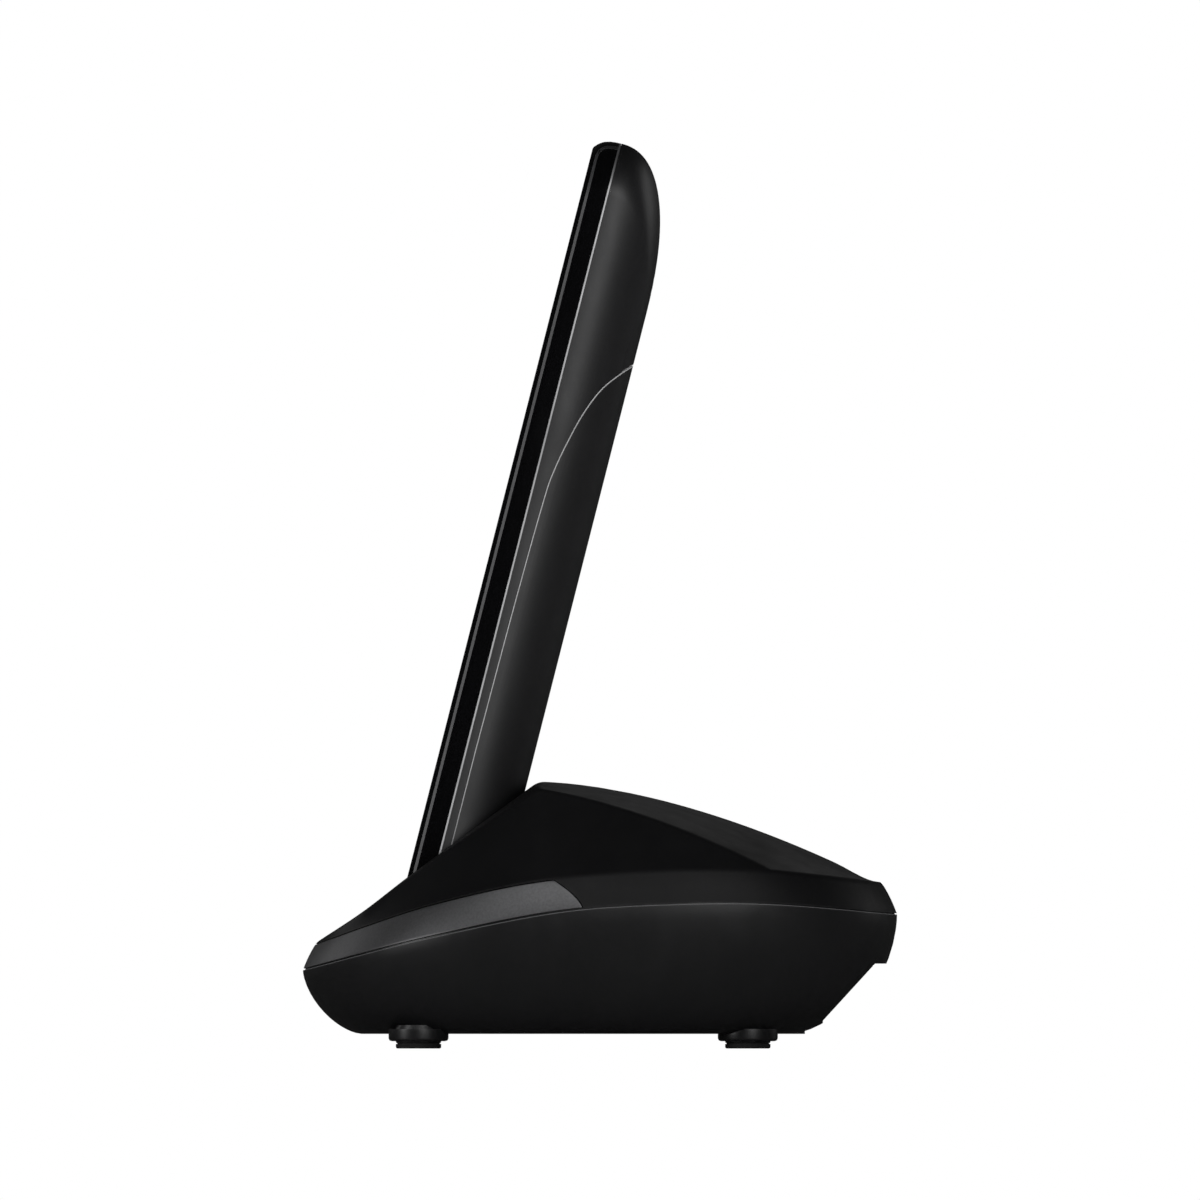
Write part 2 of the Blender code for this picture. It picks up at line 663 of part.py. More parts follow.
def make_lower_housing():
    housing = stack("base_lower_housing", bowl_rings())
    cavity = stack("cavity", bowl_rings(BASE_WALL, BASE_WALL, 0.004))
    combine(cavity, rear_wedge("wedge", BASE_WALL))
    combine(cavity, rear_notch("notch", BASE_WALL))
    combine(housing, rear_wedge("wedge", 0.0))
    combine(housing, rear_notch("notch", 0.0))
    combine(housing, cavity)
    for place in (FOOT_FRONT_Y, FOOT_REAR_Y):
        for side in (-1, 1):
            collar = extruded("collar", foot_outline(place, COLLAR_RADIUS, side), 2, PAD_HEIGHT + COLLAR_RISE,
                              FLOOR_HEIGHT + 0.001)
            stem = extruded("stem", foot_outline(place, STEM_RADIUS, side), 2, PAD_HEIGHT,
                            FLOOR_HEIGHT + 0.0014)
            combine(housing, collar, "UNION")
            combine(housing, stem, "UNION")
            heel = turned("heel", ((HEEL_RADIUS, FLOOR_HEIGHT), (HEEL_RADIUS, FLOOR_HEIGHT + HEEL_RISE)),
                          (side * FOOT_X, place, 0.0), 2, steps=16)
            combine(housing, heel, "UNION")
    for name, across, place in screw_places():
        boss = turned("boss", ((BOSS_RADIUS, FLOOR_HEIGHT + 0.001), (BOSS_RADIUS, BOSS_TOP)),
                      (across, place, 0.0), 2)
        combine(housing, boss, "UNION")
        hole = turned("hole", ((HEAD_RADIUS + GAP, -0.01), (HEAD_RADIUS + GAP, HEAD_LOW + HEAD_HEIGHT + GAP),
                               (SHANK_RADIUS + GAP, HEAD_LOW + HEAD_HEIGHT + GAP),
                               (SHANK_RADIUS + GAP, BOSS_TOP + 0.01)), (across, place, 0.0), 2)
        combine(housing, hole)
    low = BOARD_LOW + BOARD_THICKNESS + GAP
    middle = low + JACK_HEIGHT / 2
    window = block("window", (LINE_JACK_X - LINE_JACK_WIDTH / 2 - GAP, NOTCH_WALL_Y - 0.005, low - GAP),
                   (LINE_JACK_X + LINE_JACK_WIDTH / 2 + GAP, NOTCH_WALL_Y + 0.005, low + JACK_HEIGHT + GAP))
    combine(housing, window)
    hole = turned("hole", ((POWER_SOCKET_RADIUS, NOTCH_WALL_Y - 0.005),
                           (POWER_SOCKET_RADIUS, NOTCH_WALL_Y + 0.005)),
                  (POWER_JACK_X, 0.0, middle), 1)
    combine(housing, hole)
    return finished(housing, SATIN_BLACK)


def trim_grid(name, outer, thickness, low_share, high_share, reach):
    """A strip round the front of the band, from one side's end to the other's."""
    outside = []
    inside = []
    for level in range(TRIM_LEVELS + 1):
        share = low_share + (high_share - low_share) * level / TRIM_LEVELS
        end_y = TRIM_END_LOW + (TRIM_END_HIGH - TRIM_END_LOW) * max(share, 0.0) ** 1.5 + reach
        for rows, depth in ((outside, -outer), (inside, thickness)):
            lean = CREST_INSET * share - BAND_BELLY * 4 * share * (1 - share) + depth
            end = outline_angle(end_y, HALF_DEPTH - lean, HALF_DEPTH - lean)
            row = []
            for column in range(TRIM_COLUMNS + 1):
                angle = end + (-math.pi / 2 - end) * min(column, TRIM_COLUMNS - column) * 2 / TRIM_COLUMNS
                x, y = outline_point(angle, HALF_WIDTH - lean, HALF_DEPTH - lean, HALF_DEPTH - lean)
                rim = outline_point(angle, HALF_WIDTH, HALF_DEPTH, HALF_DEPTH)[1]
                low = seam_height(rim)
                height = low + (crest_height(rim) - low) * share
                row.append((x if column <= TRIM_COLUMNS / 2 else -x, y, height))
            rows.append(row)
    rings = []
    for column in range(TRIM_COLUMNS + 1):
        ring = [row[column] for row in outside] + [row[column] for row in reversed(inside)]
        rings.append(ring)
    return stack(name, rings, ladder=True)


def make_front_trim():
    trim = trim_grid("base_front_trim", 0.0, TRIM_THICKNESS, TRIM_LOW_SHARE, TRIM_HIGH_SHARE, -GAP)
    return finished(trim, GRAPHITE)


def cradle_blocks(parent, name, margin, floor, reach):
    """Two prisms along the handset: its whole section, and the deeper room under the battery door."""
    door_front = DOOR_SEAM[-1][0] - 0.0004 - margin + CRADLE_CLEARANCE
    whole = extruded(name, handset_section(margin), 2, -floor, reach, parent)
    deep = extruded(name + "_deep", rear_section(margin - 0.00002, door_front), 2,
                    -floor - DOOR_TRAVEL_ROOM + CRADLE_FLOOR, min(reach, CRADLE_RIM - 0.0005), parent)
    return whole, deep


def make_upper_housing(lean):
    housing = stack("base_upper_housing", hump_rings())
    outer_margin = CRADLE_CLEARANCE + CRADLE_WALL
    for piece in cradle_blocks(lean, "well_wall", outer_margin, CRADLE_FLOOR + CRADLE_WALL, CRADLE_RIM):
        combine(housing, piece, "UNION")
    cavity = stack("cavity", hump_rings(BASE_WALL, ROOF_WALL, 0.016))
    for piece in cradle_blocks(lean, "well_solid", outer_margin, CRADLE_FLOOR + CRADLE_WALL, 0.080):
        combine(cavity, piece)
    for name, across, place in screw_places():
        post = turned("post", ((BOSS_RADIUS, BOSS_TOP + GAP), (BOSS_RADIUS, 0.060)), (across, place, 0.0), 2)
        combine(cavity, post)
    combine(housing, cavity)
    for piece in cradle_blocks(lean, "well", CRADLE_CLEARANCE, CRADLE_FLOOR, 0.120):
        combine(housing, piece)
    for name, across, place in screw_places():
        post = turned("post", ((BOSS_RADIUS, BOSS_TOP + GAP), (BOSS_RADIUS, seam_height(place) + 0.002)),
                      (across, place, 0.0), 2)
        combine(housing, post, "UNION")
        hole = turned("hole", ((SHANK_RADIUS + GAP, 0.010), (SHANK_RADIUS + GAP, SCREW_TIP + 0.001)),
                      (across, place, 0.0), 2)
        combine(housing, hole)
    for across in (-CONTACT_X, CONTACT_X):
        low = (across - CONTACT_WIDTH / 2 - GAP, CONTACT_DEPTH - CONTACT_THICKNESS / 2 - GAP, -0.006)
        high = (across + CONTACT_WIDTH / 2 + GAP, CONTACT_DEPTH + CONTACT_THICKNESS / 2 + GAP, 0.001)
        combine(housing, block("slot", low, high, lean))
    groove = trim_grid("groove", 0.0015, TRIM_THICKNESS + GAP, TRIM_LOW_SHARE - TRIM_GROOVE_SHARE,
                       TRIM_HIGH_SHARE + TRIM_GROOVE_SHARE, 0.0)
    combine(housing, groove)
    outline = rounded_outline(PAGE_WIDTH / 2 + GAP, -PAGE_HEIGHT / 2 - GAP, PAGE_HEIGHT / 2 + GAP,
                              PAGE_HEIGHT / 2, PAGE_HEIGHT / 2)
    window = extruded("window", outline, 2, -0.006, 0.004)
    window.data.transform(slope_frame(PAGE_Y))
    combine(housing, window)
    hole = turned("hole", ((LIGHT_RADIUS + GAP, -0.006), (LIGHT_RADIUS + GAP, 0.004)), (0, 0, 0), 2, steps=16)
    hole.data.transform(slope_frame(PAGE_Y, LIGHT_X))
    combine(housing, hole)
    return finished(housing, SATIN_BLACK)


def make_feet():
    for row, place in (("front", FOOT_FRONT_Y), ("rear", FOOT_REAR_Y)):
        for name, side in (("left", -1), ("right", 1)):
            pad = extruded("foot_pad_" + row + "_" + name, foot_outline(place, STEM_RADIUS, side), 2, 0.0,
                           PAD_HEIGHT - GAP)
            finished(pad, RUBBER)


def make_base_screws():
    for name, across, place in screw_places():
        top = HEAD_LOW + HEAD_HEIGHT
        profile = ((HEAD_RADIUS * 0.8, HEAD_LOW), (HEAD_RADIUS, HEAD_LOW + 0.0006), (HEAD_RADIUS, top),
                   (SHANK_RADIUS, top), (SHANK_RADIUS, SCREW_TIP - 0.0015), (SHANK_RADIUS * 0.4, SCREW_TIP))
        screw = turned("base_screw_" + name, profile, (across, place, 0.0), 2, steps=16)
        finished(screw, STEEL)


def make_base_electronics():
    board = block("base_circuit_board", (-BOARD_HALF_WIDTH, BOARD_FRONT_Y, BOARD_LOW),
                  (BOARD_HALF_WIDTH, BOARD_REAR_Y, BOARD_LOW + BOARD_THICKNESS))
    finished(board, BOARD_GREEN)
    low = BOARD_LOW + BOARD_THICKNESS + GAP
    middle = low + JACK_HEIGHT / 2
    rear = NOTCH_WALL_Y - 0.0002
    line = block("line_jack", (LINE_JACK_X - LINE_JACK_WIDTH / 2, rear - JACK_LENGTH, low),
                 (LINE_JACK_X + LINE_JACK_WIDTH / 2, rear, low + JACK_HEIGHT))
    socket = block("socket",
                   (LINE_JACK_X - LINE_SOCKET_WIDTH / 2, rear - SOCKET_DEPTH, middle - LINE_SOCKET_HEIGHT / 2),
                   (LINE_JACK_X + LINE_SOCKET_WIDTH / 2, rear + 0.01, middle + LINE_SOCKET_HEIGHT / 2))
    combine(line, socket)
    latch = block("latch",
                  (LINE_JACK_X - LATCH_HALF_WIDTH, rear - SOCKET_DEPTH + 0.001,
                   middle - JACK_HEIGHT / 2 + 0.0005),
                  (LINE_JACK_X + LATCH_HALF_WIDTH, rear + 0.01, middle))
    combine(line, latch)
    finished(line, SATIN_BLACK)
    inner = NOTCH_WALL_Y - BASE_WALL - GAP
    power = block("power_jack", (POWER_JACK_X - POWER_JACK_WIDTH / 2, inner - JACK_LENGTH, low),
                  (POWER_JACK_X + POWER_JACK_WIDTH / 2, inner, low + JACK_HEIGHT))
    bore = ((POWER_SOCKET_RADIUS, inner - SOCKET_DEPTH), (POWER_SOCKET_RADIUS, inner + 0.01))
    socket = turned("socket", bore, (POWER_JACK_X, 0.0, middle), 1)
    combine(power, socket)
    pin = turned("pin", ((POWER_PIN_RADIUS, inner - SOCKET_DEPTH - 0.001), (POWER_PIN_RADIUS, inner - 0.0012),
                         (POWER_PIN_RADIUS * 0.4, inner - 0.0004)), (POWER_JACK_X, 0.0, middle), 1, steps=12)
    combine(power, pin, "UNION")
    finished(power, SATIN_BLACK)
    aerial = turned("base_aerial", ((BASE_AERIAL_RADIUS, BASE_AERIAL_FRONT),
                                    (BASE_AERIAL_RADIUS, BASE_AERIAL_FRONT + BASE_AERIAL_LENGTH)),
                    (BASE_AERIAL_X, 0.0, low + BASE_AERIAL_RADIUS), 1, steps=12)
    finished(aerial, GOLD)


def make_page_button():
    frame = slope_frame(PAGE_Y)
    button = extruded("page_button", rounded_outline(PAGE_WIDTH / 2, -PAGE_HEIGHT / 2, PAGE_HEIGHT / 2,
                                                     PAGE_HEIGHT / 2 - 0.0001, PAGE_HEIGHT / 2 - 0.0001),
                      2, -PAGE_LENGTH, -0.0001)
    button.data.transform(frame)
    finished(button, GRAPHITE, frame.translation)
    lens = turned("charge_light_lens", ((LIGHT_RADIUS, -LIGHT_LENGTH), (LIGHT_RADIUS, -0.0003),
                                        (LIGHT_RADIUS * 0.6, -0.0001)), (0, 0, 0), 2, steps=16)
    lens.data.transform(slope_frame(PAGE_Y, LIGHT_X))
    finished(lens, LIGHT_AMBER)
    board = block("page_switch_board", (-0.009, -PAGE_BOARD_HALF, -0.0064),
                  (LIGHT_X + 0.0025, PAGE_BOARD_HALF, -0.0054))
    profile = ((SWITCH_RADIUS, -0.0056), (SWITCH_RADIUS, -0.0050), (SWITCH_RADIUS * 0.55, -0.0046))
    dome = turned("dome", profile, (0, 0, 0), 2, steps=12)
    combine(board, dome, "UNION")
    board.data.transform(frame)
    finished(board, BOARD_GREEN)


def make_contacts(lean):
    bottom = -CRADLE_FLOOR - CRADLE_WALL - GAP
    front = CONTACT_DEPTH - 0.0022
    carrier = block("contact_carrier", (-CONTACT_CARRIER_WIDTH / 2, front, bottom - CONTACT_CARRIER_HEIGHT),
                    (CONTACT_CARRIER_WIDTH / 2, CONTACT_DEPTH + 0.0014, bottom), lean)
    for side, across in (("left", -CONTACT_X), ("right", CONTACT_X)):
        low = (across - CONTACT_WIDTH / 2, CONTACT_DEPTH - CONTACT_THICKNESS / 2)
        high = (across + CONTACT_WIDTH / 2, CONTACT_DEPTH + CONTACT_THICKNESS / 2)
        slot = block("slot", (low[0] - GAP, low[1] - GAP, -0.020), (high[0] + GAP, high[1] + GAP, 0.010),
                     lean)
        combine(carrier, slot)
        outline = rounded_outline(CONTACT_WIDTH / 2, -CONTACT_TAIL, CONTACT_RISE, 0.0003, 0.0012, 3)
        contact = extruded("charge_contact_" + side, moved_outline(outline, across), 1, low[1], high[1], lean)
        finished(contact, GOLD, (across, CONTACT_DEPTH, 0.0))
    finished(carrier, SATIN_BLACK)


# Handset pieces -------------------------------------------------------------------------------


def key_list():
    """(name, across, height, width, length up the handset, finish) of each key."""
    keys = []
    labels = (("star", "0", "hash"), ("7", "8", "9"), ("4", "5", "6"), ("1", "2", "3"))
    for row, names in enumerate(labels):
        for column, label in enumerate(names):
            keys.append(("key_" + label, (column - 1) * KEY_COLUMN, DIGIT_ROW_LOW + row * DIGIT_ROW_STEP,
                         KEY_WIDTH, KEY_HEIGHT, SATIN_BLACK))
    keys.append(("key_talk", -KEY_COLUMN, CALL_ROW, KEY_WIDTH, KEY_HEIGHT, TALK_GREEN))
    keys.append(("key_recall", 0.0, CALL_ROW, KEY_WIDTH, KEY_HEIGHT, SATIN_BLACK))
    keys.append(("key_off", KEY_COLUMN, CALL_ROW, KEY_WIDTH, KEY_HEIGHT, OFF_RED))
    soft_x = (KEYPAD_WIDTH / 2 + NAV_WIDTH / 2) / 2
    soft_width = KEYPAD_WIDTH / 2 - NAV_WIDTH / 2 - SOFT_KEY_MARGIN
    keys.append(("key_soft_left", -soft_x, NAV_ROW, soft_width, SOFT_KEY_HEIGHT, SATIN_BLACK))
    keys.append(("key_navigation", 0.0, NAV_ROW, NAV_WIDTH, NAV_HEIGHT, GRAPHITE))
    keys.append(("key_soft_right", soft_x, NAV_ROW, soft_width, SOFT_KEY_HEIGHT, SATIN_BLACK))
    return keys


def key_outline(width, length, margin=0.0):
    radius = min(length * 0.42, 0.0050) + margin
    return rounded_outline(width / 2 + margin, -length / 2 - margin, length / 2 + margin, radius, radius, 3)


def make_keys(lean):
    for name, across, height, width, length, finish in key_list():
        rings = []
        for inset, depth in ((0.0009, KEY_TOP), (0.0002, KEY_TOP + 0.0004), (0.0, KEYPAD_RECESS + 0.0004),
                             (0.0, KEY_TOP + KEY_LENGTH)):
            outline = key_outline(width - 2 * inset, length - 2 * inset)
            rings.append([(x, depth, z) for x, z in outline])
        key = stack(name, rings, lean)
        finished(key, finish)
        key.location = (across, 0.0, height)


def make_front_case(lean):
    rings = []
    for depth, side, top, bottom in FRONT_EDGE:
        outline = rounded_outline(HANDSET_HALF - side, bottom, HANDSET_LENGTH - top, BOTTOM_CORNER,
                                  TOP_CORNER, 6)
        rings.append([(x, depth, z) for x, z in outline])
    case = stack("handset_front_case", rings, lean)
    wall = CASE_WALL
    inner = rounded_outline(HANDSET_HALF - wall, wall + 0.0022, HANDSET_LENGTH - wall - 0.0006,
                            BOTTOM_CORNER - wall, TOP_CORNER - wall, 5)
    combine(case, extruded("inside", inner, 1, FACE_THICKNESS, 0.02, lean))
    tray = rounded_outline(KEYPAD_WIDTH / 2, KEYPAD_LOW, KEYPAD_HIGH, KEYPAD_CORNER, KEYPAD_CORNER)
    combine(case, extruded("tray", tray, 1, -0.01, KEYPAD_RECESS, lean))
    for name, across, height, width, length, finish in key_list():
        outline = [(x + across, z + height) for x, z in key_outline(width, length, GAP)]
        combine(case, extruded("hole", outline, 1, -0.01, 0.0030, lean))
    window = rounded_outline(WINDOW_WIDTH / 2 + GAP, WINDOW_LOW - GAP, WINDOW_HIGH + GAP, WINDOW_CORNER + GAP,
                             WINDOW_CORNER + GAP, 3)
    combine(case, extruded("window", window, 1, -0.01, WINDOW_FRONT + WINDOW_THICKNESS + GAP, lean))
    view = rounded_outline(WINDOW_WIDTH / 2 - VIEW_MARGIN, WINDOW_LOW + VIEW_MARGIN,
                           WINDOW_HIGH - VIEW_MARGIN, 0.001, 0.001, 2)
    combine(case, extruded("view", view, 1, -0.01, 0.0030, lean))
    for step in (-1, 0, 1):
        middle = EARPIECE_HEIGHT + step * EARPIECE_SLOT_STEP
        slot = rounded_outline(EARPIECE_SLOT_HALF - EARPIECE_SLOT_TAPER * abs(step), middle - 0.0006,
                               middle + 0.0006, 0.0005, 0.0005, 2)
        combine(case, extruded("slot", slot, 1, -0.01, 0.0030, lean))
    combine(case, turned("hole", ((0.0006, -0.01), (0.0006, 0.003)), (0, 0, MICROPHONE_HEIGHT), 1, lean, 10))
    for across in (-CASE_SCREW_X, CASE_SCREW_X):
        post = turned("post", ((POST_RADIUS, FACE_THICKNESS - 0.0004), (POST_RADIUS, FRONT_CASE_BACK)),
                      (across, 0, CASE_SCREW_HEIGHT), 1, lean, 14)
        combine(case, post, "UNION")
        bore = CASE_SHANK_RADIUS + GAP
        hole = turned("hole", ((bore, FACE_THICKNESS + 0.0006), (bore, 0.02)),
                      (across, 0, CASE_SCREW_HEIGHT), 1, lean, 12)
        combine(case, hole)
    for across in (-CONTACT_X, CONTACT_X):
        low = (across - CONTACT_WIDTH / 2 - 0.0005, CONTACT_DEPTH - CONTACT_THICKNESS / 2 - 0.0002, -0.01)
        high = (across + CONTACT_WIDTH / 2 + 0.0005, CONTACT_DEPTH + CONTACT_THICKNESS / 2 + 0.0005,
                PAD_RECESS + PAD_THICKNESS + GAP)
        combine(case, block("recess", low, high, lean))
    return finished(case, GLOSS_BLACK)


def make_trim_band(lean):
    outline = rounded_outline(HANDSET_HALF, 0.0, HANDSET_LENGTH, BOTTOM_CORNER, TOP_CORNER, 6)
    inner = rounded_outline(HANDSET_HALF - CASE_WALL, CASE_WALL, HANDSET_LENGTH - CASE_WALL,
                            BOTTOM_CORNER - CASE_WALL, TOP_CORNER - CASE_WALL, 6)
    band = extruded("handset_trim_band", outline, 1, TRIM_FRONT, TRIM_BACK, lean)
    combine(band, extruded("inside", inner, 1, 0.0, 0.02, lean))
    return finished(band, SILVER)


def door_region(name, lean, margin):
    """Everything behind the door's seam, in side view."""
    outline = [(depth - margin, height + margin) for depth, height in DOOR_SEAM]
    outline.insert(0, (0.040, DOOR_SEAM[0][1] + margin + 0.020))
    outline.append((DOOR_SEAM[-1][0] - margin, -0.020))
    outline.append((0.040, -0.020))
    return extruded(name, outline, 0, -0.060, 0.060, lean)


def make_rear_case(lean):
    case = stack("handset_rear_case", back_rings(0.0, REAR_CASE_FRONT), lean)
    door = stack("battery_door", back_rings(0.0, REAR_CASE_FRONT), lean)
    core = stack("core", back_rings(DOOR_THICKNESS + GAP, 0.0), lean)
    room = door_region("room", lean, GAP)
    combine(room, core)
    combine(case, room)
    combine(door, door_region("region", lean, 0.0), "INTERSECT")
    combine(door, stack("core", back_rings(DOOR_THICKNESS, 0.0), lean))
    bay_width = 2 * CELL_RADIUS + 3 * GAP
    combine(case, block("bay", (-bay_width, CELL_BAY_FLOOR, CELL_BAY_LOW),
                        (bay_width, 0.030, CELL_BAY_HIGH), lean))
    chamber = rounded_outline(CHAMBER_HALF_WIDTH, CHAMBER_LOW, CHAMBER_HIGH, 0.003, 0.006, 3)
    combine(case, extruded("chamber", chamber, 1, 0.0, CHAMBER_DEPTH, lean))
    for step in range(-2, 3):
        middle = RINGER_HEIGHT + step * RINGER_SLOT_STEP
        slot = rounded_outline(RINGER_SLOT_HALF - RINGER_SLOT_TAPER * abs(step), middle - 0.0005,
                               middle + 0.0005, 0.0004, 0.0004, 2)
        combine(case, extruded("slot", slot, 1, 0.010, 0.030, lean))
    for across in (-CASE_SCREW_X, CASE_SCREW_X):
        bore = CASE_SHANK_RADIUS + GAP
        sink = CASE_HEAD_RADIUS + GAP
        profile = ((bore, 0.0), (bore, CASE_HEAD_LOW - GAP), (sink, CASE_HEAD_LOW - GAP), (sink, 0.030))
        hole = turned("hole", profile, (across, 0, CASE_SCREW_HEIGHT), 1, lean, 14)
        combine(case, hole)
    finished(case, SATIN_BLACK)
    finished(door, SATIN_BLACK, (0.0, HANDSET_THICKNESS - DOOR_THICKNESS, DOOR_ORIGIN_HEIGHT))


def make_window(lean):
    outline = rounded_outline(WINDOW_WIDTH / 2, WINDOW_LOW, WINDOW_HIGH, WINDOW_CORNER, WINDOW_CORNER, 3)
    window = extruded("display_window", outline, 1, WINDOW_FRONT, WINDOW_FRONT + WINDOW_THICKNESS, lean)
    finished(window, LENS_DARK)
    module = block("display_module", (-DISPLAY_WIDTH / 2, FACE_THICKNESS + GAP, WINDOW_LOW + 0.0005),
                   (DISPLAY_WIDTH / 2, HANDSET_BOARD_FRONT - GAP, WINDOW_HIGH - 0.0005), lean)
    finished(module, LENS_DARK)


def make_handset_electronics(lean):
    back = HANDSET_BOARD_FRONT + HANDSET_BOARD_THICKNESS
    board = block("handset_circuit_board", (-HANDSET_BOARD_WIDTH / 2, HANDSET_BOARD_FRONT, HANDSET_BOARD_LOW),
                  (HANDSET_BOARD_WIDTH / 2, back, HANDSET_BOARD_HIGH), lean)
    for across in (-CASE_SCREW_X, CASE_SCREW_X):
        hole = turned("hole", ((POST_RADIUS + GAP, 0.0), (POST_RADIUS + GAP, 0.01)),
                      (across, 0, CASE_SCREW_HEIGHT), 1, lean, 14)
        combine(board, hole)
    finished(board, BOARD_GREEN)
    mat = block("key_mat", (-KEYPAD_WIDTH / 2 + 0.002, MAT_FRONT, KEYPAD_LOW + 0.002),
                (KEYPAD_WIDTH / 2 - 0.002, MAT_FRONT + MAT_THICKNESS, KEYPAD_HIGH - 0.002), lean)
    for across in (-CASE_SCREW_X, CASE_SCREW_X):
        hole = turned("hole", ((POST_RADIUS + GAP, 0.0), (POST_RADIUS + GAP, 0.01)),
                      (across, 0, CASE_SCREW_HEIGHT), 1, lean, 14)
        combine(mat, hole)
    finished(mat, MAT_GREY)
    front = FACE_THICKNESS + GAP
    profile = ((EARPIECE_RADIUS - 0.0005, front), (EARPIECE_RADIUS, front + 0.0006),
               (EARPIECE_RADIUS, 0.0044), (EARPIECE_RADIUS * 0.6, 0.0050))
    speaker = turned("earpiece_speaker", profile, (0, 0, EARPIECE_HEIGHT), 1, lean, 24)
    finished(speaker, SPEAKER_GREY)
    profile = ((0.0045, 0.0086), (RINGER_RADIUS, 0.0095), (RINGER_RADIUS, CHAMBER_DEPTH - GAP))
    ringer = turned("ringer_speaker", profile, (0, 0, RINGER_HEIGHT), 1, lean, 24)
    finished(ringer, SPEAKER_GREY)
    microphone = turned("microphone", ((0.0024, FACE_THICKNESS + GAP), (0.0024, HANDSET_BOARD_FRONT - GAP)),
                        (0, 0, MICROPHONE_HEIGHT), 1, lean, 16)
    finished(microphone, STEEL)
    aerial = turned("handset_aerial", ((0.0008, -0.008), (0.0008, 0.010)),
                    (0.0, 0.0066, HANDSET_AERIAL_HEIGHT), 0, lean, 10)
    finished(aerial, GOLD)
    middle = CELL_BAY_FLOOR + GAP + CELL_RADIUS
    for side, sign in (("left", -1), ("right", 1)):
        low, high = CELL_LOW, CELL_LOW + CELL_LENGTH
        nub, rise = CELL_NUB_RADIUS, CELL_NUB_LENGTH
        ends = ((nub, low), (nub, low + rise), (CELL_RADIUS, low + rise + 0.0002), (CELL_RADIUS, high))
        if side == "right":
            ends = ((CELL_RADIUS, low), (CELL_RADIUS, high - rise - 0.0002), (nub, high - rise), (nub, high))
        cell = turned("battery_cell_" + side, ends, (sign * (CELL_RADIUS + GAP), middle, 0), 2, lean, 20)
        finished(cell, CELL_SLEEVE)
    wide, deep = CELL_CONTACT_HALF_WIDTH, CELL_CONTACT_HALF_DEPTH
    spring = block("battery_spring_contact", (-wide, middle - deep, CELL_BAY_LOW + GAP),
                   (wide, middle + deep, CELL_BAY_LOW + GAP + 0.0005), lean)
    for sign in (-1, 1):
        coil = turned("coil", ((0.0032, CELL_BAY_LOW + GAP + 0.0002), (0.0020, CELL_LOW - GAP)),
                      (sign * (CELL_RADIUS + GAP), middle, 0), 2, lean, 14)
        combine(spring, coil, "UNION")
    finished(spring, STEEL)
    plate = block("battery_plate_contact", (-wide, middle - deep, CELL_LOW + CELL_LENGTH + GAP),
                  (wide, middle + deep, CELL_LOW + CELL_LENGTH + GAP + 0.0006), lean)
    finished(plate, STEEL)
    for side, across in (("left", -CONTACT_X), ("right", CONTACT_X)):
        low = (across - CONTACT_WIDTH / 2, CONTACT_DEPTH - CONTACT_THICKNESS / 2, PAD_RECESS)
        high = (across + CONTACT_WIDTH / 2, CONTACT_DEPTH + CONTACT_THICKNESS / 2, PAD_RECESS + PAD_THICKNESS)
        pad = block("charge_pad_" + side, low, high, lean)
        finished(pad, GOLD)
    for side, across in (("left", -CASE_SCREW_X), ("right", CASE_SCREW_X)):
        shank, head, low = CASE_SHANK_RADIUS, CASE_HEAD_RADIUS, CASE_HEAD_LOW
        profile = ((shank * 0.5, FACE_THICKNESS + 0.0010), (shank, 0.0032), (shank, low), (head, low),
                   (head, low + 0.0012), (head * 0.75, low + 0.0016))
        screw = turned("handset_screw_" + side, profile, (across, 0, CASE_SCREW_HEIGHT), 1, lean, 14)
        finished(screw, STEEL)


def main():
    for old in list(bpy.data.objects):
        bpy.data.objects.remove(old)
    lean = bpy.data.objects.new("handset_frame", None)
    bpy.context.scene.collection.objects.link(lean)
    lean.location = HANDSET_FOOT
    lean.rotation_euler = (-HANDSET_LEAN, 0.0, 0.0)
    bpy.context.view_layer.update()
    make_lower_housing()
    make_upper_housing(lean)
    make_front_trim()
    make_feet()
    make_base_screws()
    make_base_electronics()
    make_page_button()
    make_contacts(lean)
    make_front_case(lean)
    make_trim_band(lean)
    make_rear_case(lean)
    make_window(lean)
    make_keys(lean)
    make_handset_electronics(lean)


main()
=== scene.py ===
"""Looks of a cordless telephone: moulded shells, seams, keys, legends and finishes around its frame.

Handset pieces are drawn in the handset's leaning frame and then set in place: X across, Y from its
front face towards its back, Z from its bottom end towards its top. Base pieces are drawn in place.
"""

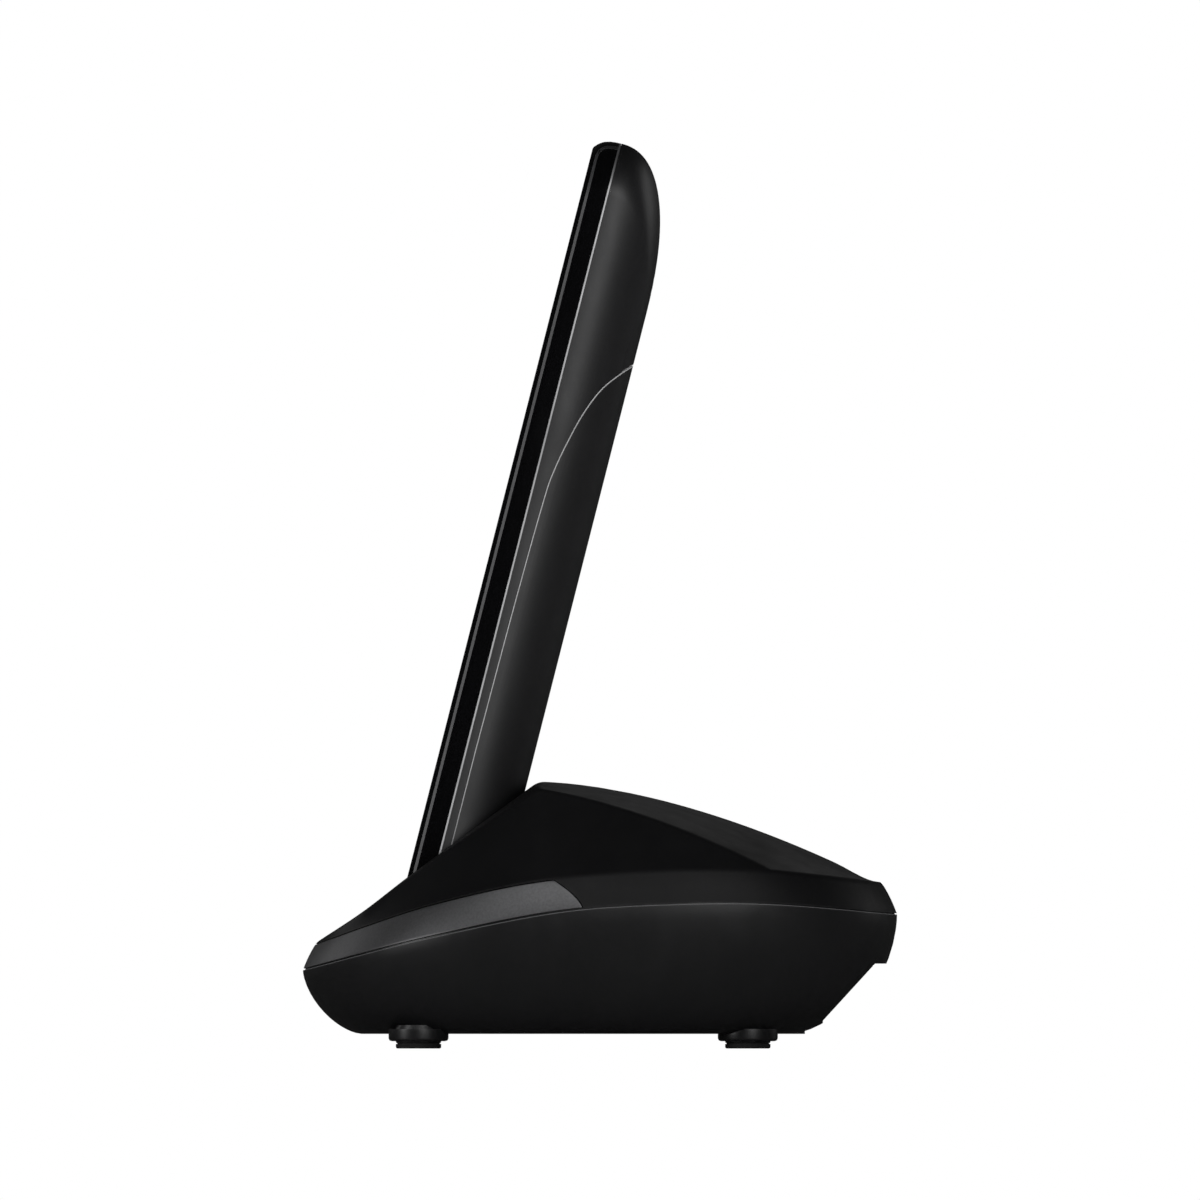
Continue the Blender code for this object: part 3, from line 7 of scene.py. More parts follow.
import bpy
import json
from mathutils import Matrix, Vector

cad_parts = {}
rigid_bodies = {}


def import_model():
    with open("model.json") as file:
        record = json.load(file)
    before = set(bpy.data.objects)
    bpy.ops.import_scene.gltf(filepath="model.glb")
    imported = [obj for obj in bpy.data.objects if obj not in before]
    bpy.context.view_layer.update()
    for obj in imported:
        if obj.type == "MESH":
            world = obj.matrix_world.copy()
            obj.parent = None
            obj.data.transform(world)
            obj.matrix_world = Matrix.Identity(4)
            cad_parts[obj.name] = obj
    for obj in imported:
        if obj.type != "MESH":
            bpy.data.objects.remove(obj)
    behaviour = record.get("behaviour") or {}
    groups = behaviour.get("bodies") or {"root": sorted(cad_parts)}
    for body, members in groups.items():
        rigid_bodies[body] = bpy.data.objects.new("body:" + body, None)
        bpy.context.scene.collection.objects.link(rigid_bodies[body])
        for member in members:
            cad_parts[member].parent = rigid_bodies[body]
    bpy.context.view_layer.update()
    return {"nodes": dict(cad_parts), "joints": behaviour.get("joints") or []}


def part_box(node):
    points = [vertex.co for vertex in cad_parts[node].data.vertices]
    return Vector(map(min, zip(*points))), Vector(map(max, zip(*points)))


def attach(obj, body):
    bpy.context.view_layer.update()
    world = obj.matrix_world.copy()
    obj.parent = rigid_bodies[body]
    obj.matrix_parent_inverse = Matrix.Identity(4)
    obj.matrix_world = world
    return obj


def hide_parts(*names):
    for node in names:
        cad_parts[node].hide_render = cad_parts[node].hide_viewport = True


bl_info = {
    "name": "Cordless telephone and base",
    "version": (1, 0, 0),
    "blender": (4, 5, 0),
    "location": "3D View > Sidebar > Telephone",
    "description": "Builds the shells, keys, seams and finishes of a cordless telephone and its base",
    "category": "Add Mesh",
}

import json
import math

import bmesh
import bpy
from mathutils import Matrix, Vector

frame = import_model()

X_AXIS = Vector((1, 0, 0))
MERGE = 1e-6


# Places read from the frame ---------------------------------------------------------------------


def joint_axis(name):
    """Direction of a joint's motion."""
    return Vector(next(joint["axis"] for joint in frame["joints"] if joint["name"] == name))


def extent(node, direction):
    """Lowest and highest distance of a frame piece's points along a direction."""
    reach = [vertex.co.dot(direction) for vertex in frame["nodes"][node].data.vertices]
    return min(reach), max(reach)


UP = joint_axis("handset_lift").normalized()
IN = Vector((0, UP.z, -UP.y))
FACE = extent("handset_front_case", IN)[0]
FOOT = extent("handset_front_case", UP)[0]
TO_HANDSET = Matrix.Translation(IN * FACE + UP * FOOT) @ Matrix((X_AXIS, IN, UP)).transposed().to_4x4()


def depth_of(node):
    """A handset piece's front and back, measured from the handset's face."""
    low, high = extent(node, IN)
    return low - FACE, high - FACE


def height_of(node):
    """A handset piece's bottom and top, measured from the handset's lower end."""
    low, high = extent(node, UP)
    return low - FOOT, high - FOOT


def width_of(node):
    low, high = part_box(node)
    return high[0] - low[0]


BASE_LOW, BASE_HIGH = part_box("base_upper_housing")
HALF_WIDTH = (BASE_HIGH[0] - BASE_LOW[0]) / 2
HALF_DEPTH = (BASE_HIGH[1] - BASE_LOW[1]) / 2
RIDGE_HEIGHT = BASE_HIGH[2]
HANDSET_HALF = width_of("handset_trim_band") / 2
HANDSET_LENGTH = height_of("handset_trim_band")[1]
HANDSET_THICKNESS = depth_of("handset_rear_case")[1]
TRIM_BACK = depth_of("handset_trim_band")[1]


# Settings ---------------------------------------------------------------------------------------


def length(name, description, default):
    """A length property in metres."""
    return bpy.props.FloatProperty(name=name, description=description, default=default, min=0.0,
                                   unit="LENGTH",
                                   precision=5)


def colour(name, description, default):
    return bpy.props.FloatVectorProperty(name=name, description=description, default=default, min=0.0,
                                         max=1.0,
                                         size=3, subtype="COLOR")


def share(name, description, default):
    return bpy.props.FloatProperty(name=name, description=description, default=default, min=0.0, max=1.0,
                                   subtype="FACTOR")


class BaseSettings(bpy.types.PropertyGroup):
    """Sizes of the base's moulded edges and seams."""

    edge_round: length("Wing edge round", "Fillet along the cradle wings and the facet's upper edge", 0.0011)
    crest_round: length("Crest round", "Fillet along the crest between the band and the top", 0.0009)
    ridge_round: length("Ridge round", "Half the length of the round across the ridge", 0.0013)
    seam_gap: length("Seam gap", "Shadow gap between the upper and the lower housing", 0.00022)
    # The lip's brightness comes from a lighter colour: a painted highlight along the seam.
    bead_height: length("Seam bead", "Height of the bright lip along the lower housing's rim", 0.00024)
    trim_gap: length("Trim gap", "Gap round the front trim", 0.00018)


class HandsetSettings(bpy.types.PropertyGroup):
    """Sizes of the handset's moulded edges, seams and keys."""

    seam_gap: length("Door seam gap", "Gap between the battery door and the rear case", 0.00014)
    # The line along the door's edge is a painted highlight.
    seam_highlight_line: length("Door seam line", "Width of the bright line along the battery door's edge", 0.00020)
    face_round: length("Face edge round", "Fillet round the front face", 0.00035)
    legend_height: length("Legend height", "Height of the figures on the keys", 0.0030)
    legend_thickness: length("Legend thickness", "How far the print stands off the keys", 0.00003)


class FinishSettings(bpy.types.PropertyGroup):
    """Colours of the finishes."""

    gloss_black: colour("Gloss black", "Handset front", (0.0018, 0.0018, 0.0021))
    satin_black: colour("Satin black", "Handset rear and battery door", (0.011, 0.011, 0.012))
    housing_black: colour("Housing black", "Lower housing and hump", (0.0055, 0.0055, 0.006))
    graphite: colour("Graphite", "Front trim and page button", (0.095, 0.095, 0.098))
    silver: colour("Silver", "Thin trim line of the handset", (0.86, 0.86, 0.87))
    legend: colour("Legend", "Print on the keys", (0.62, 0.63, 0.64))
    # Lightens edges as rubbed wear and also as a painted highlight along crests and fillets.
    edge_wear_and_highlight: share("Edge wear", "How far rubbed edges lighten", 0.35)


class StageSettings(bpy.types.PropertyGroup):
    """The floor, the lights and the camera."""

    view_height: length("View height", "Height and width of the camera's view", 0.246)
    view_middle: length("View middle", "Height of the middle of the view above the table", 0.09195)
    floor_size: length("Floor size", "Side of the pale floor", 6.0)
    softness: share("Surround", "Brightness of the room as the pieces reflect it", 0.02)


# Shape tools ------------------------------------------------------------------------------------


def new_piece(name, vertices, faces):
    """A mesh object with doubled points merged and its faces pointing out."""
    mesh = bpy.data.meshes.new(name)
    mesh.from_pydata([tuple(vertex) for vertex in vertices], [], faces)
    tidy_mesh(mesh, True)
    piece = bpy.data.objects.new(name, mesh)
    bpy.context.scene.collection.objects.link(piece)
    return piece


def tidy_mesh(mesh, outwards=False):
    work = bmesh.new()
    work.from_mesh(mesh)
    bmesh.ops.remove_doubles(work, verts=work.verts, dist=MERGE)
    bmesh.ops.dissolve_degenerate(work, edges=work.edges, dist=MERGE)
    if outwards:
        bmesh.ops.recalc_face_normals(work, faces=work.faces)
    work.to_mesh(mesh)
    work.free()


def stack(name, rings, ladder=False):
    """Joins closed rings of equal length in order and closes both ends, with a ladder of quads if asked."""
    count = len(rings[0])
    vertices = [point for ring in rings for point in ring]
    faces = []
    for level in range(len(rings) - 1):
        for index in range(count):
            following = (index + 1) % count
            faces.append((level * count + index, level * count + following,
                          (level + 1) * count + following, (level + 1) * count + index))
    last = (len(rings) - 1) * count
    if ladder:
        for index in range(count // 2 - 1):
            rung = (index, index + 1, count - 2 - index, count - 1 - index)
            faces.append(tuple(reversed(rung)))
            faces.append(tuple(last + corner for corner in rung))
    else:
        faces.append(tuple(reversed(range(count))))
        faces.append(tuple(range(last, last + count)))
    return new_piece(name, vertices, faces)


def sleeve(name, rings):
    """Joins closed rings in order and back to the first, like a tyre."""
    count = len(rings[0])
    vertices = [point for ring in rings for point in ring]
    faces = []
    for level in range(len(rings)):
        above = (level + 1) % len(rings)
        for index in range(count):
            following = (index + 1) % count
            faces.append((level * count + index, level * count + following,
                          above * count + following, above * count + index))
    return new_piece(name, vertices, faces)


def extruded(name, outline, axis, low, high):
    """A straight prism: the flat outline stands square to the axis (0 is X, 1 is Y, 2 is Z)."""
    rings = []
    for along in (low, high):
        ring = []
        for point in outline:
            place = list(point)
            place.insert(axis, along)
            ring.append(place)
        rings.append(ring)
    return stack(name, rings)


def block(name, low, high):
    outline = ((low[0], low[1]), (high[0], low[1]), (high[0], high[1]), (low[0], high[1]))
    return extruded(name, outline, 2, low[2], high[2])


def turned(name, profile, centre, axis, steps=48):
    """(radius, distance along the axis) pairs turned about an axis through the centre."""
    rings = []
    for radius, along in profile:
        ring = []
        for step in range(steps):
            angle = 2 * math.pi * step / steps
            place = [radius * math.cos(angle), radius * math.sin(angle)]
            place.insert(axis, along)
            ring.append([place[0] + centre[0], place[1] + centre[1], place[2] + centre[2]])
        rings.append(ring)
    return stack(name, rings)


def rounded_outline(half_width, low, high, low_radius, high_radius, steps=12):
    """A rectangle with round corners, anticlockwise from its lower right corner."""
    corners = ((1, low + low_radius, low_radius, -90), (1, high - high_radius, high_radius, 0),
               (-1, high - high_radius, high_radius, 90), (-1, low + low_radius, low_radius, 180))
    points = []
    for side, middle, radius, start in corners:
        for step in range(steps + 1):
            angle = math.radians(start + 90 * step / steps)
            across = side * (half_width - radius) + radius * math.cos(angle)
            points.append((across, middle + radius * math.sin(angle)))
    return points


def filleted(points, radii, steps=5):
    """A line of points with its inner corners rounded: each cut is at most 45% of its shorter side."""
    result = [points[0]]
    for index in range(1, len(points) - 1):
        before, corner, after = (Vector(points[index + shift]) for shift in (-1, 0, 1))
        reach = min(radii[index - 1], 0.45 * (before - corner).length, 0.45 * (after - corner).length)
        if radii[index - 1] == 0:
            result.append(corner)
            continue
        start = corner + (before - corner).normalized() * reach
        end = corner + (after - corner).normalized() * reach
        for step in range(steps + 1):
            t = step / steps
            result.append(start * (1 - t) ** 2 + corner * 2 * t * (1 - t) + end * t * t)
    result.append(points[-1])
    return [tuple(point) for point in result]


def combine(target, other, operation="DIFFERENCE"):
    """Applies a Boolean to the target and removes the other object."""
    modifier = target.modifiers.new(operation.title(), "BOOLEAN")
    modifier.operation = operation
    modifier.object = other
    bpy.context.view_layer.update()
    result = target.evaluated_get(bpy.context.evaluated_depsgraph_get())
    mesh = bpy.data.meshes.new_from_object(result)
    target.modifiers.clear()
    target.data = mesh
    bpy.data.objects.remove(other)


def placed(piece, matrix=TO_HANDSET):
    """Moves the mesh itself, so that the object stays at the origin."""
    piece.data.transform(matrix)
    return piece


def bevelled(piece, width, segments=2, angle=38):
    """Rounds the sharp edges that cuts leave."""
    modifier = piece.modifiers.new("Round edges", "BEVEL")
    modifier.width = width
    modifier.segments = segments
    modifier.limit_method = "ANGLE"
    modifier.angle_limit = math.radians(angle)
    modifier.miter_outer = "MITER_ARC"
    modifier.use_clamp_overlap = True
    bpy.context.view_layer.update()
    mesh = bpy.data.meshes.new_from_object(piece.evaluated_get(bpy.context.evaluated_depsgraph_get()))
    piece.modifiers.clear()
    piece.data = mesh
    return piece


def flattened(piece):
    """Keeps broad faces flat by letting them lead the normals of the small faces round them."""
    modifier = piece.modifiers.new("Flat faces", "WEIGHTED_NORMAL")
    modifier.keep_sharp = True
    modifier.weight = 80
    bpy.context.view_layer.update()
    mesh = bpy.data.meshes.new_from_object(piece.evaluated_get(bpy.context.evaluated_depsgraph_get()))
    piece.modifiers.clear()
    piece.data = mesh
    mesh.name = piece.name


def completed(piece, finish, body, nodes=(), smooth=32):
    """Shades a piece, gives it its finish, and hangs it on its body in place of frame pieces."""
    tidy_mesh(piece.data)
    piece.data.name = piece.name
    piece.data.materials.clear()
    piece.data.materials.append(finish)
    piece.data.shade_smooth()
    piece.data.set_sharp_from_angle(angle=math.radians(smooth))
    flattened(piece)
    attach(piece, body)
    if nodes:
        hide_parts(*nodes)
    return piece


def curve_through(points):
    """A smooth function through (place, height) points, flat beyond its ends."""
    places = [point[0] for point in points]
    heights = [point[1] for point in points]
    last = len(points) - 1
    slopes = []
    for index in range(len(points)):
        before = max(index - 1, 0)
        after = min(index + 1, last)
        slopes.append((heights[after] - heights[before]) / (places[after] - places[before]))

    def height(place):
        place = min(max(place, places[0]), places[-1])
        index = 0
        while index < last - 1 and place > places[index + 1]:
            index += 1
        span = places[index + 1] - places[index]
        t = (place - places[index]) / span
        return (heights[index] * (1 + 2 * t) * (1 - t) ** 2 + heights[index + 1] * t * t * (3 - 2 * t)
                + span * (slopes[index] * t * (1 - t) ** 2 - slopes[index + 1] * t * t * (1 - t)))

    return height


# Finishes ---------------------------------------------------------------------------------------


class Nodes:
    """Short calls for making and joining shader or geometry nodes in one tree."""

    def __init__(self, tree):
        self.tree = tree
        self.column = 0

    def add(self, kind, inputs=None, **settings):
        node = self.tree.nodes.new(kind)
        node.location = (self.column * 190, -(self.column % 4) * 90)
        self.column += 1
        for name, value in settings.items():
            setattr(node, name, value)
        for name, value in (inputs or {}).items():
            socket = node.inputs[name]
            if isinstance(value, bpy.types.NodeSocket):
                self.tree.links.new(value, socket)
            else:
                socket.default_value = value
        return node

    def math(self, operation, first, second=0.0, clamp=False):
        return self.add("ShaderNodeMath", {0: first, 1: second}, operation=operation,
                        use_clamp=clamp).outputs[0]

    def span(self, value, low, high, to_low, to_high):
        inputs = {"Value": value, "From Min": low, "From Max": high, "To Min": to_low, "To Max": to_high}
        return self.add("ShaderNodeMapRange", inputs).outputs["Result"]

    def mix(self, factor, first, second):
        node = self.add("ShaderNodeMix", data_type="RGBA")
        for index, value in ((0, factor), (6, first), (7, second)):
            if isinstance(value, bpy.types.NodeSocket):
                self.tree.links.new(value, node.inputs[index])
            else:
                node.inputs[index].default_value = value
        return node.outputs[2]


def new_group(name, inputs, outputs):
    """A shader node group with its input and output sockets, and a helper for its nodes."""
    group = bpy.data.node_groups.new(name, "ShaderNodeTree")
    for label, default in inputs:
        socket = group.interface.new_socket(label, in_out="INPUT", socket_type="NodeSocketFloat")
        socket.default_value = default
    for label in outputs:
        group.interface.new_socket(label, in_out="OUTPUT", socket_type="NodeSocketFloat")
    nodes = Nodes(group)
    start = nodes.add("NodeGroupInput")
    return group, nodes, start.outputs


def close_group(nodes, results):
    nodes.add("NodeGroupOutput", results)


def moulded_grain_group():
    """Fine spark-eroded grain of a mould, as a height and a colour fleck."""
    group, nodes, given = new_group("Moulded grain", (("Scale", 2600.0), ("Coarse share", 0.35)),
                                    ("Height", "Fleck"))
    coordinates = nodes.add("ShaderNodeTexCoord").outputs["Object"]
    fine = nodes.add("ShaderNodeTexNoise", {"Vector": coordinates, "Scale": given["Scale"], "Detail": 2.0})
    coarse_scale = nodes.math("MULTIPLY", given["Scale"], 0.32)
    coarse = nodes.add("ShaderNodeTexVoronoi", {"Vector": coordinates, "Scale": coarse_scale})
    weighted = nodes.math("MULTIPLY", coarse.outputs["Distance"], given["Coarse share"])
    close_group(nodes,
                {"Height": nodes.math("ADD", fine.outputs["Fac"], weighted), "Fleck": fine.outputs["Fac"]})
    return group


def handling_group():
    """Slow, uneven marks of handling and cleaning, from 0 to 1."""
    group, nodes, given = new_group("Handling marks", (("Scale", 45.0), ("Streak", 0.5)), ("Marks",))
    coordinates = nodes.add("ShaderNodeTexCoord").outputs["Object"]
    blotch = nodes.add("ShaderNodeTexNoise", {"Vector": coordinates, "Scale": given["Scale"], "Detail": 5.0,
                                              "Roughness": 0.62, "Distortion": 0.6})
    stretched = nodes.add("ShaderNodeMapping", {"Vector": coordinates, "Scale": (1.0, 1.0, 0.12)})
    streak_scale = nodes.math("MULTIPLY", given["Scale"], 6.0)
    streak = nodes.add("ShaderNodeTexNoise", {"Vector": stretched.outputs["Vector"], "Scale": streak_scale,
                                              "Detail": 3.0})
    streaks = nodes.math("MULTIPLY", streak.outputs["Fac"], given["Streak"])
    total = nodes.math("ADD", blotch.outputs["Fac"], streaks)
    close_group(nodes, {"Marks": nodes.span(total, 0.45, 1.05, 0.0, 1.0)})
    return group


def edge_wear_and_highlight_group():
    """Where edges are rubbed, and where the same mask paints a highlight along them: 1 on an edge and 0 on
    the open surface.
    """
    group, nodes, given = new_group("Edge wear", (("Radius", 0.0005), ("Break-up", 260.0)), ("Wear",))
    rounded = nodes.add("ShaderNodeBevel", {"Radius": given["Radius"]}, samples=4)
    flat = nodes.add("ShaderNodeNewGeometry")
    agreement = nodes.add("ShaderNodeVectorMath", {0: rounded.outputs["Normal"], 1: flat.outputs["Normal"]},
                          operation="DOT_PRODUCT")
    turn = nodes.span(agreement.outputs["Value"], 0.999, 0.90, 0.0, 1.0)
    coordinates = nodes.add("ShaderNodeTexCoord").outputs["Object"]
    noise = nodes.add("ShaderNodeTexNoise",
                      {"Vector": coordinates, "Scale": given["Break-up"], "Detail": 4.0})
    broken = nodes.span(noise.outputs["Fac"], 0.35, 0.65, 0.25, 1.0)
    close_group(nodes, {"Wear": nodes.math("MULTIPLY", turn, broken, True)})
    return group


def shade(base, factor):
    return tuple(min(channel * factor, 1.0) for channel in base)


def moulded(name, base, roughness, grain=2600.0, grain_depth=0.00001, marks=0.08, wear_and_highlight=0.35, coat=0.0,
            metallic=0.0, specular=0.5, variation=0.12, wear_and_highlight_radius=0.0005):
    """A moulded plastic, plated or rubber finish with grain, handling marks, and edges lightened both as
    rubbed wear and as a painted highlight.
    """
    finish = bpy.data.materials.new(name)
    finish.use_nodes = True
    finish.diffuse_color = (*base, 1.0)
    nodes = Nodes(finish.node_tree)
    shader = finish.node_tree.nodes["Principled BSDF"]
    texture = nodes.add("ShaderNodeGroup", node_tree=bpy.data.node_groups["Moulded grain"])
    texture.inputs["Scale"].default_value = grain
    handled = nodes.add("ShaderNodeGroup", node_tree=bpy.data.node_groups["Handling marks"])
    rubbed_and_lit_edges = nodes.add("ShaderNodeGroup", node_tree=bpy.data.node_groups["Edge wear"])
    rubbed_and_lit_edges.inputs["Radius"].default_value = wear_and_highlight_radius
    fleck = nodes.span(texture.outputs["Fleck"], 0.3, 0.7, 0.0, 1.0)
    varied = nodes.mix(fleck, (*shade(base, 1 - variation), 1.0), (*shade(base, 1 + variation), 1.0))
    faded = nodes.math("MULTIPLY", handled.outputs["Marks"], 0.35)
    toned = nodes.mix(faded, varied, (*shade(base, 1 + 1.6 * variation), 1.0))
    # Edge colour: one mask lightens edges for both rubbed wear and a painted highlight along edges and
    # crests.
    lightened = shade(tuple(channel + 0.012 for channel in base), 1.9)
    worn_and_lit = nodes.math("MULTIPLY", rubbed_and_lit_edges.outputs["Wear"], wear_and_highlight)
    links = finish.node_tree.links
    links.new(nodes.mix(worn_and_lit, toned, (*lightened, 1.0)), shader.inputs["Base Color"])
    rough = nodes.span(handled.outputs["Marks"], 0.0, 1.0, max(roughness - marks / 2, 0.02),
                       roughness + marks)
    links.new(rough, shader.inputs["Roughness"])
    bump = nodes.add("ShaderNodeBump", {"Strength": 1.0, "Distance": grain_depth,
                                        "Height": texture.outputs["Height"]})
    links.new(bump.outputs["Normal"], shader.inputs["Normal"])
    shader.inputs["Metallic"].default_value = metallic
    shader.inputs["Specular IOR Level"].default_value = specular
    shader.inputs["Coat Weight"].default_value = coat
    shader.inputs["Coat Roughness"].default_value = 0.06
    return finish


def brushed(name, base, roughness, direction=(1.0, 1.0, 0.03)):
    """A plated or brushed metal with fine drawn lines."""
    finish = bpy.data.materials.new(name)
    finish.use_nodes = True
    finish.diffuse_color = (*base, 1.0)
    nodes = Nodes(finish.node_tree)
    shader = finish.node_tree.nodes["Principled BSDF"]
    coordinates = nodes.add("ShaderNodeTexCoord").outputs["Object"]
    stretched = nodes.add("ShaderNodeMapping", {"Vector": coordinates, "Scale": direction})
    lines = nodes.add("ShaderNodeTexNoise",
                      {"Vector": stretched.outputs["Vector"], "Scale": 5200.0, "Detail": 2.0})
    handled = nodes.add("ShaderNodeGroup", node_tree=bpy.data.node_groups["Handling marks"])
    links = finish.node_tree.links
    links.new(nodes.mix(lines.outputs["Fac"], (*shade(base, 0.82), 1.0), (*shade(base, 1.12), 1.0)),
              shader.inputs["Base Color"])
    links.new(nodes.span(handled.outputs["Marks"], 0.0, 1.0, roughness * 0.8, roughness * 1.4),
              shader.inputs["Roughness"])
    bump = nodes.add("ShaderNodeBump",
                     {"Strength": 0.6, "Distance": 0.000006, "Height": lines.outputs["Fac"]})
    links.new(bump.outputs["Normal"], shader.inputs["Normal"])
    shader.inputs["Metallic"].default_value = 1.0
    return finish


def board_finish(name):
    """Solder mask over copper tracks."""
    finish = bpy.data.materials.new(name)
    finish.use_nodes = True
    finish.diffuse_color = (0.02, 0.16, 0.07, 1.0)
    nodes = Nodes(finish.node_tree)
    shader = finish.node_tree.nodes["Principled BSDF"]
    coordinates = nodes.add("ShaderNodeTexCoord").outputs["Object"]
    tracks = nodes.add("ShaderNodeTexBrick", {"Vector": coordinates, "Scale": 330.0, "Mortar Size": 0.09,
                                              "Color1": (0.015, 0.13, 0.055, 1.0),
                                              "Color2": (0.02, 0.17, 0.07, 1.0),
                                              "Mortar": (0.05, 0.30, 0.12, 1.0)})
    pads = nodes.add("ShaderNodeTexVoronoi", {"Vector": coordinates, "Scale": 420.0})
    pad_mask = nodes.span(pads.outputs["Distance"], 0.16, 0.13, 0.0, 1.0)
    links = finish.node_tree.links
    links.new(nodes.mix(pad_mask, tracks.outputs["Color"], (0.78, 0.74, 0.66, 1.0)),
              shader.inputs["Base Color"])
    links.new(nodes.span(pad_mask, 0.0, 1.0, 0.38, 0.22), shader.inputs["Roughness"])
    links.new(pad_mask, shader.inputs["Metallic"])
    bump = nodes.add("ShaderNodeBump",
                     {"Strength": 0.7, "Distance": 0.00003, "Height": tracks.outputs["Fac"]})
    links.new(bump.outputs["Normal"], shader.inputs["Normal"])
    return finish


def display_finish(name):
    """A switched-off reflective display under a smoked window: faint dots inside a dark border."""
    finish = bpy.data.materials.new(name)
    finish.use_nodes = True
    finish.diffuse_color = (0.02, 0.022, 0.026, 1.0)
    nodes = Nodes(finish.node_tree)
    shader = finish.node_tree.nodes["Principled BSDF"]
    surface = nodes.add("ShaderNodeAttribute", attribute_name="window")
    parts = nodes.add("ShaderNodeSeparateXYZ", {"Vector": surface.outputs["Vector"]})
    inside_x = nodes.span(nodes.math("ABSOLUTE", parts.outputs["X"]), 0.815, 0.80, 0.0, 1.0)
    inside_z = nodes.span(nodes.math("ABSOLUTE", parts.outputs["Y"]), 0.80, 0.785, 0.0, 1.0)
    glass = nodes.math("MULTIPLY", inside_x, inside_z)
    rows = nodes.math("FRACT", nodes.math("MULTIPLY", parts.outputs["Y"], 32.0))
    columns = nodes.math("FRACT", nodes.math("MULTIPLY", parts.outputs["X"], 34.0))
    dots = nodes.math("MULTIPLY", nodes.math("GREATER_THAN", rows, 0.16),
                      nodes.math("GREATER_THAN", columns, 0.16))
    lit = nodes.mix(dots, (0.040, 0.047, 0.050, 1.0), (0.050, 0.060, 0.064, 1.0))
    handled = nodes.add("ShaderNodeGroup", node_tree=bpy.data.node_groups["Handling marks"])
    links = finish.node_tree.links
    links.new(nodes.mix(glass, (0.0025, 0.0025, 0.003, 1.0), lit), shader.inputs["Base Color"])
    links.new(nodes.span(handled.outputs["Marks"], 0.0, 1.0, 0.035, 0.11), shader.inputs["Roughness"])
    texture = nodes.add("ShaderNodeGroup", node_tree=bpy.data.node_groups["Moulded grain"])
    texture.inputs["Scale"].default_value = 300.0
    bump = nodes.add("ShaderNodeBump",
                     {"Strength": 0.3, "Distance": 0.000002, "Height": texture.outputs["Height"]})
    links.new(bump.outputs["Normal"], shader.inputs["Normal"])
    shader.inputs["Coat Weight"].default_value = 0.6
    shader.inputs["Coat Roughness"].default_value = 0.02
    return finish


